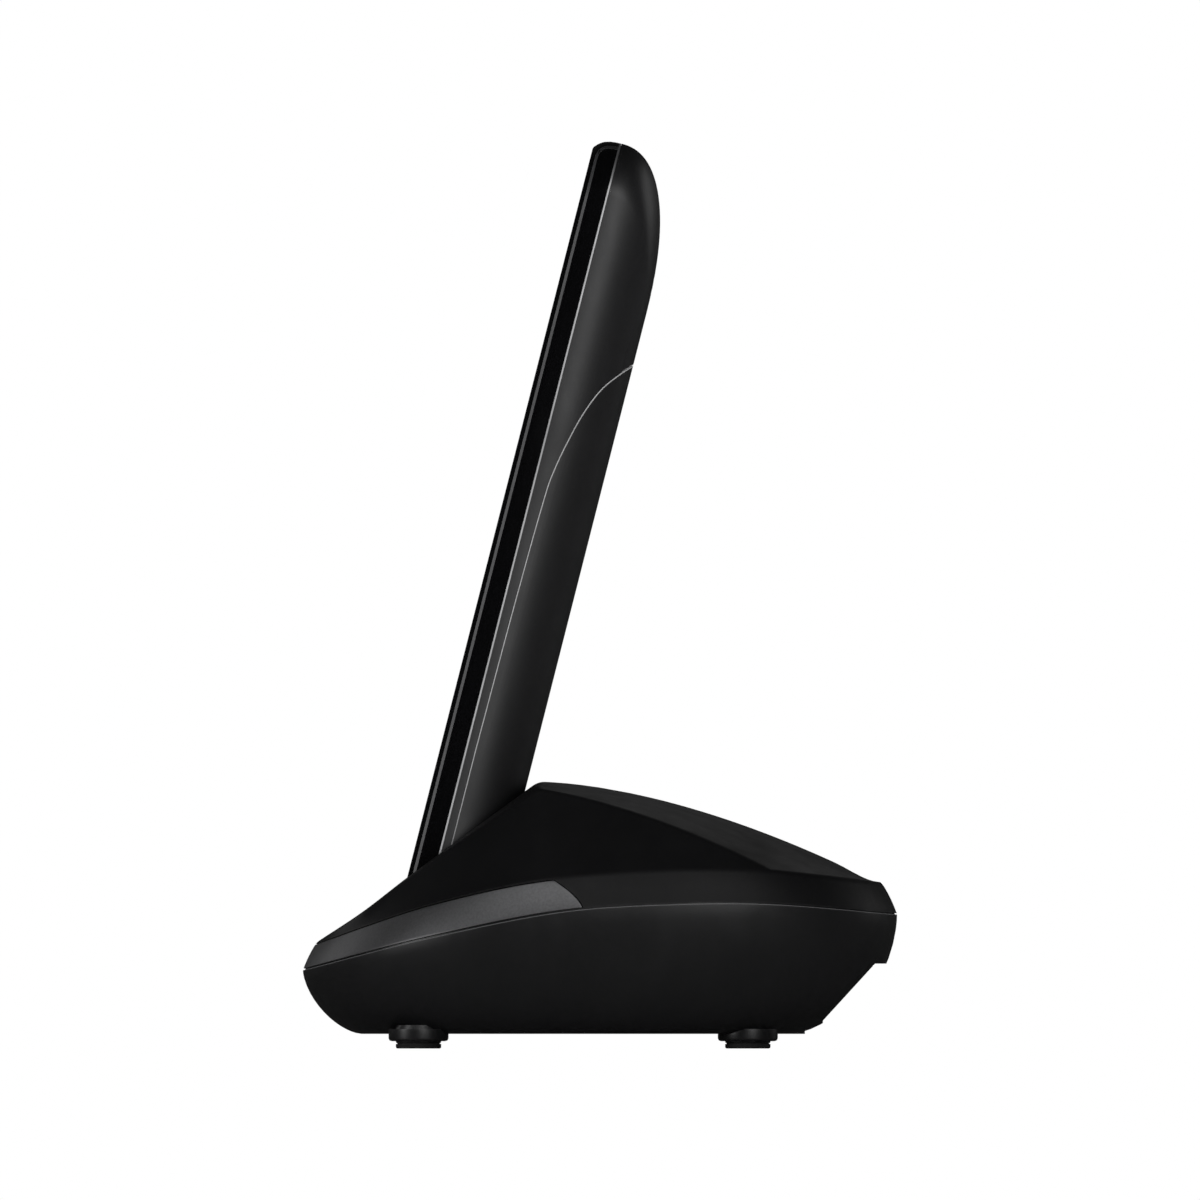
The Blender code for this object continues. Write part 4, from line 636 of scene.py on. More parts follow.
def make_finishes():
    """Every finish of the telephone, by its own name."""
    moulded_grain_group()
    handling_group()
    edge_wear_and_highlight_group()
    tones = bpy.context.scene.telephone_finish
    wear_and_highlight = tones.edge_wear_and_highlight
    gloss = tuple(tones.gloss_black)
    satin = tuple(tones.satin_black)
    housing = tuple(tones.housing_black)
    graphite = tuple(tones.graphite)
    return {
        "case_gloss_black": moulded("case_gloss_black", gloss, 0.09, 700.0, 0.0000006, 0.04, wear_and_highlight * 0.3,
                                    specular=0.32),
        "case_satin_black": moulded("case_satin_black", satin, 0.42, 3000.0, 0.000005, 0.08, wear_and_highlight,
                                    specular=0.6),
        # A darker copy of the satin black for the battery door: painted shade.
        "door_satin_black": moulded("door_satin_black", shade(satin, 0.9), 0.43, 3000.0, 0.000005, 0.08, wear_and_highlight,
                                    specular=0.68),
        "housing_black": moulded("housing_black", housing, 0.34, 2800.0, 0.000005, 0.09, wear_and_highlight, specular=0.5),
        # A darker copy of the housing black for the hump: painted shade that keeps its top facets dark.
        "hump_black": moulded("hump_black", shade(housing, 0.7), 0.46, 2800.0, 0.000004, 0.09, wear_and_highlight,
                              specular=0.16),
        "trim_graphite": moulded("trim_graphite", graphite, 0.42, 2200.0, 0.000003, 0.08, wear_and_highlight * 0.6, 0.0,
                                 0.85),
        # A lighter colour on the rim lip: a painted highlight along the seam.
        "seam_bead": moulded("seam_bead", (0.10, 0.10, 0.103), 0.5, 2200.0, 0.000002, 0.08, 0.1,
                             specular=0.3),
        # A light strip along the battery door's edge: a painted highlight on the seam.
        "door_seam": moulded("door_seam", (0.34, 0.34, 0.345), 0.45, 2200.0, 0.000002, 0.08, 0.1,
                             specular=0.4),
        # Grey line on the front case's sides: a painted highlight of its edge.
        "bezel_line": moulded("bezel_line", (0.050, 0.050, 0.052), 0.42, 2200.0, 0.000002, 0.06, 0.1,
                              specular=0.4),
        "trim_silver": brushed("trim_silver", tuple(tones.silver), 0.50),
        "foot_rubber": moulded("foot_rubber", (0.010, 0.010, 0.010), 0.72, 1500.0, 0.00003, 0.12, 0.15,
                               specular=0.3),
        "key_plastic": moulded("key_plastic", (0.013, 0.013, 0.014), 0.34, 2600.0, 0.000004, 0.08, wear_and_highlight),
        "key_graphite": moulded("key_graphite", (0.030, 0.030, 0.032), 0.36, 2600.0, 0.000003, 0.08, wear_and_highlight),
        "key_green": moulded("key_green", (0.014, 0.12, 0.035), 0.34, 2600.0, 0.000004, 0.08, wear_and_highlight),
        "key_red": moulded("key_red", (0.22, 0.012, 0.012), 0.34, 2600.0, 0.000004, 0.08, wear_and_highlight),
        "legend": moulded("legend", tuple(tones.legend), 0.55, 1800.0, 0.000002, 0.05, 0.0, variation=0.06),
        "window_lens": display_finish("window_lens"),
        "display_glass": moulded("display_glass", (0.04, 0.05, 0.052), 0.2, 600.0, 0.000002, 0.05, 0.0),
        "light_lens": moulded("light_lens", (0.55, 0.16, 0.03), 0.14, 900.0, 0.000002, 0.05, 0.1, 0.4),
        "contact_gold": brushed("contact_gold", (0.80, 0.58, 0.26), 0.26),
        "screw_steel": brushed("screw_steel", (0.50, 0.50, 0.49), 0.30, (1.0, 1.0, 0.2)),
        "board_green": board_finish("board_green"),
        "cell_sleeve": moulded("cell_sleeve", (0.05, 0.24, 0.12), 0.30, 900.0, 0.000004, 0.1, 0.2, 0.3),
        "speaker_grey": moulded("speaker_grey", (0.10, 0.10, 0.11), 0.5, 1500.0, 0.00002, 0.1, 0.3),
        "speaker_mesh": moulded("speaker_mesh", (0.03, 0.03, 0.03), 0.6, 4200.0, 0.00006, 0.1, 0.2),
        "mat_rubber": moulded("mat_rubber", (0.28, 0.29, 0.30), 0.7, 1500.0, 0.00002, 0.1, 0.1),
        "socket_black": moulded("socket_black", (0.009, 0.009, 0.010), 0.45, 2600.0, 0.000005, 0.08, wear_and_highlight),
    }


FINISHES = {}


# Base surfaces ----------------------------------------------------------------------------------

FRONT_POWER = 2.4
REAR_POWER = 2.9
FLOOR_HEIGHT = 0.0030
BOWL_POWER, BOWL_REAR_POWER = 1.6, 1.8
TONGUE_INSET = 0.0005
BOWL_FRONT, BOWL_REAR, BOWL_SIDE = 0.0120, 0.0185, 0.0120
PARTING_LINE = ((-1.0, 0.0161), (-0.60, 0.0223), (-0.13, 0.0280), (0.27, 0.0296), (0.60, 0.0295),
                (1.0, 0.0275))
CREST_LINE = ((-1.0, 0.0216), (-0.82, 0.0254), (-0.60, 0.0296), (-0.26, 0.0341), (0.07, 0.0360),
              (0.48, 0.0366), (0.75, 0.0352), (1.0, 0.0333))
CREST_INSET = 0.0027
BAND_BELLY = 0.0002
FOOT_Y = (IN * FACE + UP * FOOT).y
RIDGE_Y = FOOT_Y + HANDSET_THICKNESS + 0.01058
NOSE_SLOPE = ((-0.954 * HALF_DEPTH, 0.0218), (-0.800 * HALF_DEPTH, 0.0280), (-0.644 * HALF_DEPTH, 0.0353),
              (RIDGE_Y, RIDGE_HEIGHT))
RAMP_POWER = 1.68
RIDGE_SHOULDER = 0.0014
HUMP_HALF_WIDTH = HANDSET_HALF + 0.0070
FACET_END_Y = 0.0350
SPINE_REACH = 0.048
QUARTER_STEPS = 40

seam_height = curve_through([(part * HALF_DEPTH, height) for part, height in PARTING_LINE])
crest_height = curve_through([(part * HALF_DEPTH, height) for part, height in CREST_LINE])
slope_height = curve_through(NOSE_SLOPE)


def outline_point(angle, half_width, front, rear):
    """A point of the base's outline: angle -90 degrees is the nose, 0 the side, 90 the rear."""
    power = FRONT_POWER if angle < 0 else REAR_POWER
    depth = front if angle < 0 else rear
    across = half_width * max(math.cos(angle), 0.0) ** (2 / power)
    along = math.copysign(depth * abs(math.sin(angle)) ** (2 / power), angle)
    return across, along


def outline_angle(place, front, rear):
    """The angle at which the outline passes a given Y."""
    power = FRONT_POWER if place < 0 else REAR_POWER
    depth = front if place < 0 else rear
    return math.copysign(math.asin(min(abs(place) / depth, 1.0) ** (power / 2)), place)


def outline_angles(settings):
    """Angles of the right half, nose to rear, closer together across the ridge."""
    angles = [math.radians(-90 + 180 * step / (2 * QUARTER_STEPS)) for step in range(2 * QUARTER_STEPS + 1)]
    inset = HALF_DEPTH - CREST_INSET - 0.0007
    extra = [RIDGE_Y + settings.ridge_round * turn for turn in (-1.6, -1, -0.66, -0.33, 0, 0.33, 0.66, 1,
                                                                1.6)]
    wanted = [outline_angle(place, inset, inset) for place in extra + [FACET_END_Y]]
    clear = math.radians(0.5)
    kept = [angle for angle in angles if all(abs(angle - other) > clear for other in wanted)]
    return sorted(kept + wanted)


def mirrored(right):
    """The whole ring from its right half, which runs from the nose to the rear."""
    return list(right) + [(-x, y, z) for x, y, z in reversed(right[1:-1])]


def edge_half_width(place, crest_half_width):
    """Half the width of the hump's top at a given Y: straight wings, then an arc out to the crest."""
    if place <= RIDGE_Y:
        return HUMP_HALF_WIDTH
    part = min((place - RIDGE_Y) / (FACET_END_Y - RIDGE_Y), 1.0)
    return HUMP_HALF_WIDTH + (crest_half_width - HUMP_HALF_WIDTH) * part ** 1.3


def ramp_height(place):
    rear = HALF_DEPTH - CREST_INSET
    part = min(max((place - RIDGE_Y) / (rear - RIDGE_Y), 0.0), 1.0)
    return RIDGE_HEIGHT - (RIDGE_HEIGHT - CREST_LINE[-1][1]) * part ** RAMP_POWER


def front_top(across, place):
    """The nose slope, with its shoulder falling off outside the handset."""
    rise = min(max((place - NOSE_SLOPE[0][0]) / (RIDGE_Y - NOSE_SLOPE[0][0]), 0.0), 1.0)
    return slope_height(place) - RIDGE_SHOULDER * rise ** 2 * (max(across - 0.8, 0.0) / 0.2) ** 2


def rear_top(across, place):
    """The crowned ramp behind the ridge."""
    part = min(max((place - RIDGE_Y) / (FACET_END_Y - RIDGE_Y), 0.0), 1.0)
    end = max(place, FACET_END_Y)
    end_drop = ramp_height(end) - crest_height(end) - 0.0004
    return ramp_height(place) - (RIDGE_SHOULDER + (end_drop - RIDGE_SHOULDER) * part) * across ** 2


def top_height(across, place, ridge_round):
    """Height of the hump's top, rounded across the ridge; across is 0 in the middle and 1 on the edge."""
    if abs(place - RIDGE_Y) < ridge_round:
        t = (place - RIDGE_Y + ridge_round) / (2 * ridge_round)
        start = front_top(across, RIDGE_Y - ridge_round)
        peak = min(front_top(across, RIDGE_Y), rear_top(across, RIDGE_Y) + RIDGE_SHOULDER * across ** 2 * 0.5)
        end = rear_top(across, RIDGE_Y + ridge_round)
        return start * (1 - t) ** 2 + peak * 2 * t * (1 - t) + end * t * t
    return front_top(across, place) if place < RIDGE_Y else rear_top(across, place)


def band_point(angle, part, inset=0.0):
    """A point of the band: part 0 on the seam and 1 on the crest."""
    lean = inset + CREST_INSET * part - BAND_BELLY * 4 * part * (1 - part)
    x, y = outline_point(angle, HALF_WIDTH - lean, HALF_DEPTH - lean, HALF_DEPTH - lean)
    rim = outline_point(angle, HALF_WIDTH, HALF_DEPTH, HALF_DEPTH)[1]
    low = seam_height(rim)
    return x, y, low + (crest_height(rim) - low) * part


CREST_LEAN = CREST_INSET + 0.0007
TOP_SHARES = (0.0, 0.2, 0.4, 0.6, 0.72, 0.8, 0.85, 0.9, 0.95, 1.0)
BAND_SHARES = (0.7, 0.6, 0.5, 0.4, 0.3, 0.2, 0.1, 0.0)
BOWL_SHARES = (0.0, 0.015, 0.04, 0.08, 0.13, 0.19, 0.26, 0.34, 0.43, 0.53, 0.64, 0.76, 0.88, 0.95, 1.0)


def spine_place(place):
    """The nearest place on the line from which the base's top and floor spread."""
    return min(max(place, -SPINE_REACH), SPINE_REACH)


def hump_column(angle, settings):
    """One line of the upper housing's outside, from the middle of its top out and down to the seam."""
    half_depth = HALF_DEPTH - CREST_LEAN
    x, y = outline_point(angle, HALF_WIDTH - CREST_LEAN, half_depth, half_depth)
    edge = min(x, edge_half_width(y, x))
    spine = spine_place(y)
    top = []
    for across in TOP_SHARES:
        place = spine + (y - spine) * across
        top.append((edge * across, place, top_height(across, place, settings.ridge_round)))
    corners = [top[-2], top[-1], band_point(angle, 1.0), band_point(angle, 0.8)]
    rounded = filleted(corners, (settings.edge_round, settings.crest_round), 5)
    middle = len(rounded) // 2
    facet = [tuple(Vector(rounded[middle - 1]).lerp(Vector(rounded[middle]), t)) for t in (0.25, 0.5, 0.75)]
    band = [band_point(angle, part) for part in BAND_SHARES]
    return top[:-1] + rounded[1:middle] + facet + rounded[middle:] + band


def hump_rings(angles, settings):
    """Rings of the upper housing, from the middle of its underside out and up to the middle of its top."""
    columns = [hump_column(angle, settings) for angle in angles]
    rings = [[column[level] for column in columns] for level in range(len(columns[0]))]
    rings.reverse()
    seam = [(x, y, z + settings.seam_gap) for x, y, z in rings[0]]
    shelf = [(0.0, spine_place(y), seam_height(spine_place(y)) + settings.seam_gap) for x, y, z in seam]
    return [mirrored(ring) for ring in [shelf, seam, seam] + rings[1:]]


def bowl_pull(part, power):
    return 1 - (1 - (1 - part) ** power) ** (1 / power)


def bowl_rings(angles, inset=0.0, floor_rise=0.0, top_rise=0.0, top_drop=0.0, tongue=0.0):
    """Rings of the lower housing, from its flat floor up to the seam and round an inner tongue."""
    rings = []
    for part in BOWL_SHARES:
        ring = []
        for angle in angles:
            rearward = max(math.sin(angle), 0.0) ** 2
            pull = bowl_pull(part, BOWL_POWER + (BOWL_REAR_POWER - BOWL_POWER) * rearward)
            x, y = outline_point(angle, HALF_WIDTH - inset - BOWL_SIDE * pull,
                                 HALF_DEPTH - inset - BOWL_FRONT * pull,
                                 HALF_DEPTH - inset - BOWL_REAR * pull)
            rim = seam_height(outline_point(angle, HALF_WIDTH, HALF_DEPTH, HALF_DEPTH)[1]) - top_drop
            low = FLOOR_HEIGHT + floor_rise
            ring.append((x, y, low + (rim - low) * part))
        rings.append(ring)
    if top_rise:
        rings.append([(x, y, z + top_rise) for x, y, z in rings[-1]])
    if tongue:
        half_width, half_depth = HALF_WIDTH - TONGUE_INSET, HALF_DEPTH - TONGUE_INSET
        places = [outline_point(angle, half_width, half_depth, half_depth) for angle in angles]
        rim = [height for x, y, height in rings[-1]]
        for rise in (0.0, tongue):
            rings.append([(x, y, height + rise) for (x, y), height in zip(places, rim)])
    crown = []
    for x, y, z in rings[-1]:
        spine = spine_place(y)
        crown.append((0.0, spine, seam_height(spine) + top_rise + tongue - top_drop))
    rings.append(crown)
    return [mirrored(ring) for ring in rings]


def slope_frame(place, across=0.0):
    """A matrix on the nose slope: its Z axis points out of the slope, its Y axis up along it."""
    reach = 0.0005
    along = Vector((0, 2 * reach, slope_height(place + reach) - slope_height(place - reach))).normalized()
    out = X_AXIS.cross(along)
    turn = Matrix((X_AXIS, along, out)).transposed().to_4x4()
    return Matrix.Translation((across, place, slope_height(place))) @ turn


# Handset surfaces -------------------------------------------------------------------------------

BACK_FLAT_HALF = 0.0110
TOP_CURVE_LENGTH = 0.0330
TOP_CURVE_POWER = 2.3
BOTTOM_ROUND = 0.0060
TOP_CORNER = 0.0110
BOTTOM_CORNER = 0.0090
CURVE_DEPTH = HANDSET_THICKNESS - TRIM_BACK
BACK_ROUND = HANDSET_HALF - BACK_FLAT_HALF
DOOR_THICKNESS = 0.0016
DOOR_LINE = ((0.991, 124.4), (0.832, 122.1), (0.618, 118.2), (0.441, 112.5), (0.330, 106.9),
             (0.242, 101.2), (0.190, 95.7), (0.145, 71.9), (0.116, 40.0))
DOOR_SEAM = tuple((TRIM_BACK + part * CURVE_DEPTH, height * HANDSET_LENGTH / 168) for part,
                  height in DOOR_LINE)
CRADLE_CLEARANCE = 0.0006
CRADLE_WALL = 0.0020
CRADLE_FLOOR = 0.0004
DOOR_ROOM = 0.0052


def back_curve(depth, inset):
    """(half width, top, bottom) of the handset's outline at a depth behind the trim line."""
    part = min(max((depth - TRIM_BACK) / (CURVE_DEPTH - inset), 0.0), 1.0)
    bend = 1 - math.sqrt(1 - part * part)
    half_width = HANDSET_HALF - inset - (BACK_ROUND - inset) * bend
    top_bend = 1 - (1 - part ** TOP_CURVE_POWER) ** (1 / TOP_CURVE_POWER)
    return half_width, HANDSET_LENGTH - inset - TOP_CURVE_LENGTH * top_bend, inset + BOTTOM_ROUND * bend


def back_rings(inset, front):
    """Rings of the handset's rounded back, from a front depth to its back face."""
    rings = []
    turns = [3 * step for step in range(28)] + [83, 85, 86.5, 88, 89, 90]
    for turn in turns:
        depth = TRIM_BACK + (CURVE_DEPTH - inset) * math.sin(math.radians(turn))
        half_width, top, bottom = back_curve(depth, inset)
        outline = rounded_outline(half_width, bottom, top, min(BOTTOM_CORNER, half_width * 0.6),
                                  min(TOP_CORNER, half_width * 0.8), 12)
        rings.append([(x, depth, z) for x, z in outline])
    if front != TRIM_BACK:
        rings.insert(0, [(x, front, z) for x, _, z in rings[0]])
    if front > TRIM_BACK:
        del rings[1]
    return rings


def handset_section(margin):
    """Cross-section of the handset, (across, depth), grown by a margin: flat front and round back."""
    right = [(HANDSET_HALF + margin, -margin), (HANDSET_HALF + margin, TRIM_BACK)]
    for step in range(1, 17):
        angle = math.radians(90 * step / 16)
        right.append((BACK_FLAT_HALF + (BACK_ROUND + margin) * math.cos(angle),
                      TRIM_BACK + (CURVE_DEPTH + margin) * math.sin(angle)))
    return right + [(-x, y) for x, y in reversed(right)]


def cradle_prisms(name, margin, floor, reach):
    """Two prisms along the handset: its whole section, and the deeper room under the battery door."""
    door_front = DOOR_SEAM[-1][0] - 0.0004 - margin + CRADLE_CLEARANCE
    whole = placed(extruded(name, handset_section(margin), 2, -floor, reach))
    wide = HANDSET_HALF + margin
    behind = [(x, y) for x, y in handset_section(margin - 0.00002) if y > door_front]
    outline = [(wide, door_front)] + behind + [(-wide, door_front)]
    deep = placed(extruded(name + "_deep", outline, 2, -floor - DOOR_ROOM + CRADLE_FLOOR, min(reach, 0.0055)))
    return whole, deep


# Base pieces ------------------------------------------------------------------------------------

TRIM_END_LOW, TRIM_END_HIGH = -0.0035, -0.0100
TRIM_THICKNESS = 0.0012
TRIM_LOW, TRIM_HIGH = 0.055, 0.945
PAGE_Y = -0.875 * HALF_DEPTH
PAGE_WIDTH, PAGE_HEIGHT = 0.0140, 0.0050
LIGHT_X, LIGHT_RADIUS = 0.0150, 0.0012
REAR_LIP_HEIGHT, REAR_LIP_Y = 0.0174, 0.0564
REAR_HEEL_HEIGHT, REAR_HEEL_Y = 0.0057, 0.0457
NOTCH_HALF_WIDTH, NOTCH_WALL_Y = 0.0240, 0.0420
BASE_WALL = 0.0022
COLLAR_RADIUS, STEM_RADIUS = 0.00615, 0.00465
FOOT_ROWS = (-0.0372, 0.0303)
FOOT_X, FOOT_INNER_X = 0.0315, 0.0230
SCREW_X, SCREW_ROWS = 0.0300, (-0.0160, 0.0120)


def trim_strip(name, outer, inner, low, high, gap, levels, columns):
    """A strip round the front of the band, ending in a curve on each side."""
    parts = [low + (high - low) * level / levels for level in range(levels + 1)]
    rows = []
    for depth, order in ((-outer, parts), (inner, parts[::-1])):
        for part in order:
            end_y = TRIM_END_LOW + (TRIM_END_HIGH - TRIM_END_LOW) * max(part, 0.0) ** 1.5 - gap
            lean = CREST_INSET * part - BAND_BELLY * 4 * part * (1 - part) + depth
            end = outline_angle(end_y, HALF_DEPTH - lean, HALF_DEPTH - lean)
            row = []
            for column in range(columns + 1):
                angle = end + (-math.pi / 2 - end) * min(column, columns - column) * 2 / columns
                x, y, z = band_point(angle, part, depth)
                row.append((x if column <= columns / 2 else -x, y, z))
            rows.append(row)
    rings = [[row[column] for row in rows] for column in range(columns + 1)]
    return stack(name, rings, ladder=True)


def slope_prism(name, outline, low, high, across=0.0):
    return placed(extruded(name, outline, 2, low, high), slope_frame(PAGE_Y, across))


def make_upper_housing():
    settings = bpy.context.scene.telephone_base
    angles = outline_angles(settings)
    housing = stack("base_upper_shell", hump_rings(angles, settings))
    margin = CRADLE_CLEARANCE + CRADLE_WALL
    for prism in cradle_prisms("well_wall", margin, CRADLE_FLOOR + CRADLE_WALL, 0.006):
        combine(housing, prism, "UNION")
    for prism in cradle_prisms("well", CRADLE_CLEARANCE, CRADLE_FLOOR, 0.120):
        combine(housing, prism)
    for name in ("charge_contact_left", "charge_contact_right"):
        low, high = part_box(name)
        depth_low, depth_high = depth_of(name)
        gap = 0.0003
        slot = block("slot", (low[0] - gap, depth_low - gap, -0.006),
                     (high[0] + gap, depth_high + gap, 0.001))
        combine(housing, placed(slot))
    gap = settings.trim_gap
    combine(housing,
            trim_strip("groove", 0.0015, TRIM_THICKNESS + gap, TRIM_LOW - 0.025, TRIM_HIGH + 0.025, -gap,
                                8, 120))
    window = rounded_outline(PAGE_WIDTH / 2 + gap, -PAGE_HEIGHT / 2 - gap, PAGE_HEIGHT / 2 + gap,
                             PAGE_HEIGHT / 2, PAGE_HEIGHT / 2)
    combine(housing, slope_prism("window", window, -0.006, 0.004))
    ring = [(LIGHT_RADIUS + gap, -0.006), (LIGHT_RADIUS + gap, 0.004)]
    combine(housing, placed(turned("hole", ring, (0, 0, 0), 2, 32), slope_frame(PAGE_Y, LIGHT_X)))
    tidy_mesh(housing.data)
    bevelled(housing, 0.00022, 2, 50)
    completed(housing, FINISHES["hump_black"], "base", ("base_upper_housing",), 40)


def make_front_trim():
    trim = trim_strip("base_front_trim_shell", 0.0, TRIM_THICKNESS, TRIM_LOW, TRIM_HIGH, 0.0, 12, 160)
    bevelled(trim, 0.00016, 3, 50)
    completed(trim, FINISHES["trim_graphite"], "base", ("base_front_trim",))


def make_seam_bead():
    """The lower housing's rim: a fine lip under the shadow gap, coloured lighter than the housing as a
    painted highlight along the seam.
    """
    settings = bpy.context.scene.telephone_base
    height = settings.bead_height
    angles = outline_angles(settings)
    rings = []
    for turn in range(0, 360, 30):
        out = 0.00022 + 0.00016 * math.cos(math.radians(turn))
        up = height / 2 * math.sin(math.radians(turn)) - height / 2
        ring = []
        for angle in angles:
            x, y = outline_point(angle, HALF_WIDTH - 0.0004 + out, HALF_DEPTH - 0.0004 + out,
                                 HALF_DEPTH - 0.0004 + out)
            rim = outline_point(angle, HALF_WIDTH, HALF_DEPTH, HALF_DEPTH)[1]
            ring.append((x, y, seam_height(rim) + up))
        rings.append(mirrored(ring))
    completed(sleeve("base_seam_bead", rings), FINISHES["seam_bead"], "base")


def rear_wedge(name, wall):
    steepness = (REAR_LIP_HEIGHT - REAR_HEEL_HEIGHT) / (REAR_LIP_Y - REAR_HEEL_Y)
    rise = wall * (math.hypot(1, steepness) - steepness)
    outline = ((REAR_LIP_Y - wall, REAR_LIP_HEIGHT + wall), (0.090, REAR_LIP_HEIGHT + wall), (0.090, -0.010),
               (REAR_HEEL_Y - wall, -0.010), (REAR_HEEL_Y - wall, REAR_HEEL_HEIGHT + rise))
    return extruded(name, outline, 0, -2 * HALF_WIDTH, 2 * HALF_WIDTH)


def rear_notch(name, wall):
    return block(name, (-NOTCH_HALF_WIDTH - wall, NOTCH_WALL_Y - wall, -0.010),
                 (NOTCH_HALF_WIDTH + wall, 0.090, REAR_LIP_HEIGHT - 0.0003 + wall))


def foot_outline(place, radius, side, steps=16):
    points = []
    for centre, start in ((FOOT_X, -90), (FOOT_INNER_X, 90)):
        for step in range(steps + 1):
            angle = math.radians(start + 180 * step / steps)
            points.append((side * (centre + radius * math.cos(angle)), place + radius * math.sin(angle)))
    return points


def foot_rings(place, side, profile):
    """Rings of a foot from (radius, height) pairs."""
    rings = []
    for radius, height in profile:
        rings.append([(x, y, height) for x, y in foot_outline(place, radius, side)])
    return rings


COLLAR = ((COLLAR_RADIUS - 0.0007, 0.00150), (COLLAR_RADIUS - 0.0002, 0.00166), (COLLAR_RADIUS, 0.0021),
          (COLLAR_RADIUS, FLOOR_HEIGHT + 0.001))
STEM = ((STEM_RADIUS - 0.0002, 0.0011), (STEM_RADIUS, 0.0013), (STEM_RADIUS, FLOOR_HEIGHT + 0.0014))
HEEL = ((0.0044, FLOOR_HEIGHT), (0.0044, FLOOR_HEIGHT + 0.0018))
SCREW_BOSS = ((0.0036, FLOOR_HEIGHT + 0.001), (0.0036, 0.0137))
SCREW_WAY = ((0.0035, -0.01), (0.0035, 0.0030), (0.0031, 0.0034), (0.0031, 0.0079), (0.0017, 0.0079),
             (0.0017, 0.024))
JACK_GAP, THROUGH_WALL = 0.0003, 0.005
POWER_FUNNEL = ((0.0031, NOTCH_WALL_Y - THROUGH_WALL), (0.0031, NOTCH_WALL_Y - 0.0006),
                (0.0038, NOTCH_WALL_Y + 0.0001), (0.0038, NOTCH_WALL_Y + THROUGH_WALL))
FOOT_PAD = ((STEM_RADIUS - 0.0009, 0.0), (STEM_RADIUS - 0.0003, 0.0), (STEM_RADIUS - 0.00008, 0.00012),
            (STEM_RADIUS, 0.0003), (STEM_RADIUS, 0.00088), (STEM_RADIUS - 0.0001, 0.00095),
            (STEM_RADIUS - 0.0003, 0.00097), (STEM_RADIUS - 0.0003, 0.00130))


def make_lower_housing():
    settings = bpy.context.scene.telephone_base
    angles = outline_angles(settings)
    drop = settings.bead_height * 0.6
    tongue = drop + settings.seam_gap + 0.0001
    housing = stack("base_lower_shell", bowl_rings(angles, top_drop=drop, tongue=tongue))
    cavity = stack("cavity", bowl_rings(angles[::2], BASE_WALL, BASE_WALL, 0.004))
    combine(cavity, rear_wedge("wedge", BASE_WALL))
    combine(cavity, rear_notch("notch", BASE_WALL))
    combine(housing, rear_wedge("wedge", 0.0))
    combine(housing, rear_notch("notch", 0.0))
    combine(housing, cavity)
    for place in FOOT_ROWS:
        for side in (-1, 1):
            combine(housing, stack("collar", foot_rings(place, side, COLLAR)), "UNION")
            combine(housing, stack("stem", foot_rings(place, side, STEM)), "UNION")
            combine(housing, turned("heel", HEEL, (side * FOOT_X, place, 0.0), 2, 40), "UNION")
    for place in SCREW_ROWS:
        for across in (-SCREW_X, SCREW_X):
            combine(housing, turned("boss", SCREW_BOSS, (across, place, 0), 2, 28), "UNION")
            combine(housing, turned("hole", SCREW_WAY, (across, place, 0), 2, 28))
    low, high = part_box("line_jack")
    combine(housing, block("window", (low[0] - JACK_GAP, NOTCH_WALL_Y - THROUGH_WALL, low[2] - JACK_GAP),
                           (high[0] + JACK_GAP, NOTCH_WALL_Y + THROUGH_WALL, high[2] + JACK_GAP)))
    low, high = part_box("power_jack")
    centre = ((low[0] + high[0]) / 2, 0.0, (low[2] + high[2]) / 2)
    combine(housing, turned("hole", POWER_FUNNEL, centre, 1, 40))
    tidy_mesh(housing.data)
    bevelled(housing, 0.00025, 2, 40)
    completed(housing, FINISHES["housing_black"], "base", ("base_lower_housing",), 36)


def make_feet():
    names = (("front", FOOT_ROWS[0]), ("rear", FOOT_ROWS[1]))
    for row, place in names:
        for word, side in (("left", -1), ("right", 1)):
            pad = stack("foot_" + row + "_" + word, foot_rings(place, side, FOOT_PAD))
            node = "foot_pad_" + row + "_" + word
            completed(pad, FINISHES["foot_rubber"], "base", (node,))


# Operators and panel come below -----------------------------------------------------------------


def dress_node(name, finish):
    """Gives a frame piece that keeps its shape its procedural finish."""
    node = frame["nodes"][name]
    node.data.materials.clear()
    node.data.materials.append(FINISHES[finish])


PAGE_CROWN = ((0.0, -0.0036), (0.0, -0.0006), (0.0001, -0.0003), (0.0005, -0.00012), (0.0012, -0.00005))


def make_page_button():
    rings = []
    for inset, height in PAGE_CROWN:
        outline = rounded_outline(PAGE_WIDTH / 2 - inset, -PAGE_HEIGHT / 2 + inset, PAGE_HEIGHT / 2 - inset,
                                  PAGE_HEIGHT / 2 - inset - 0.00005, PAGE_HEIGHT / 2 - inset - 0.00005)
        rings.append([(x, y, height) for x, y in outline])
    button = placed(stack("page_button_cap", rings), slope_frame(PAGE_Y))
    completed(button, FINISHES["trim_graphite"], "page_button", ("page_button",))
    profile = ((LIGHT_RADIUS, -0.0034), (LIGHT_RADIUS, -0.0005), (LIGHT_RADIUS * 0.92, -0.0003),
               (LIGHT_RADIUS * 0.7, -0.00018), (LIGHT_RADIUS * 0.35, -0.00012))
    lens = placed(turned("charge_light", profile, (0, 0, 0), 2, 32), slope_frame(PAGE_Y, LIGHT_X))
    completed(lens, FINISHES["light_lens"], "base", ("charge_light_lens",))


# Handset pieces ---------------------------------------------------------------------------------

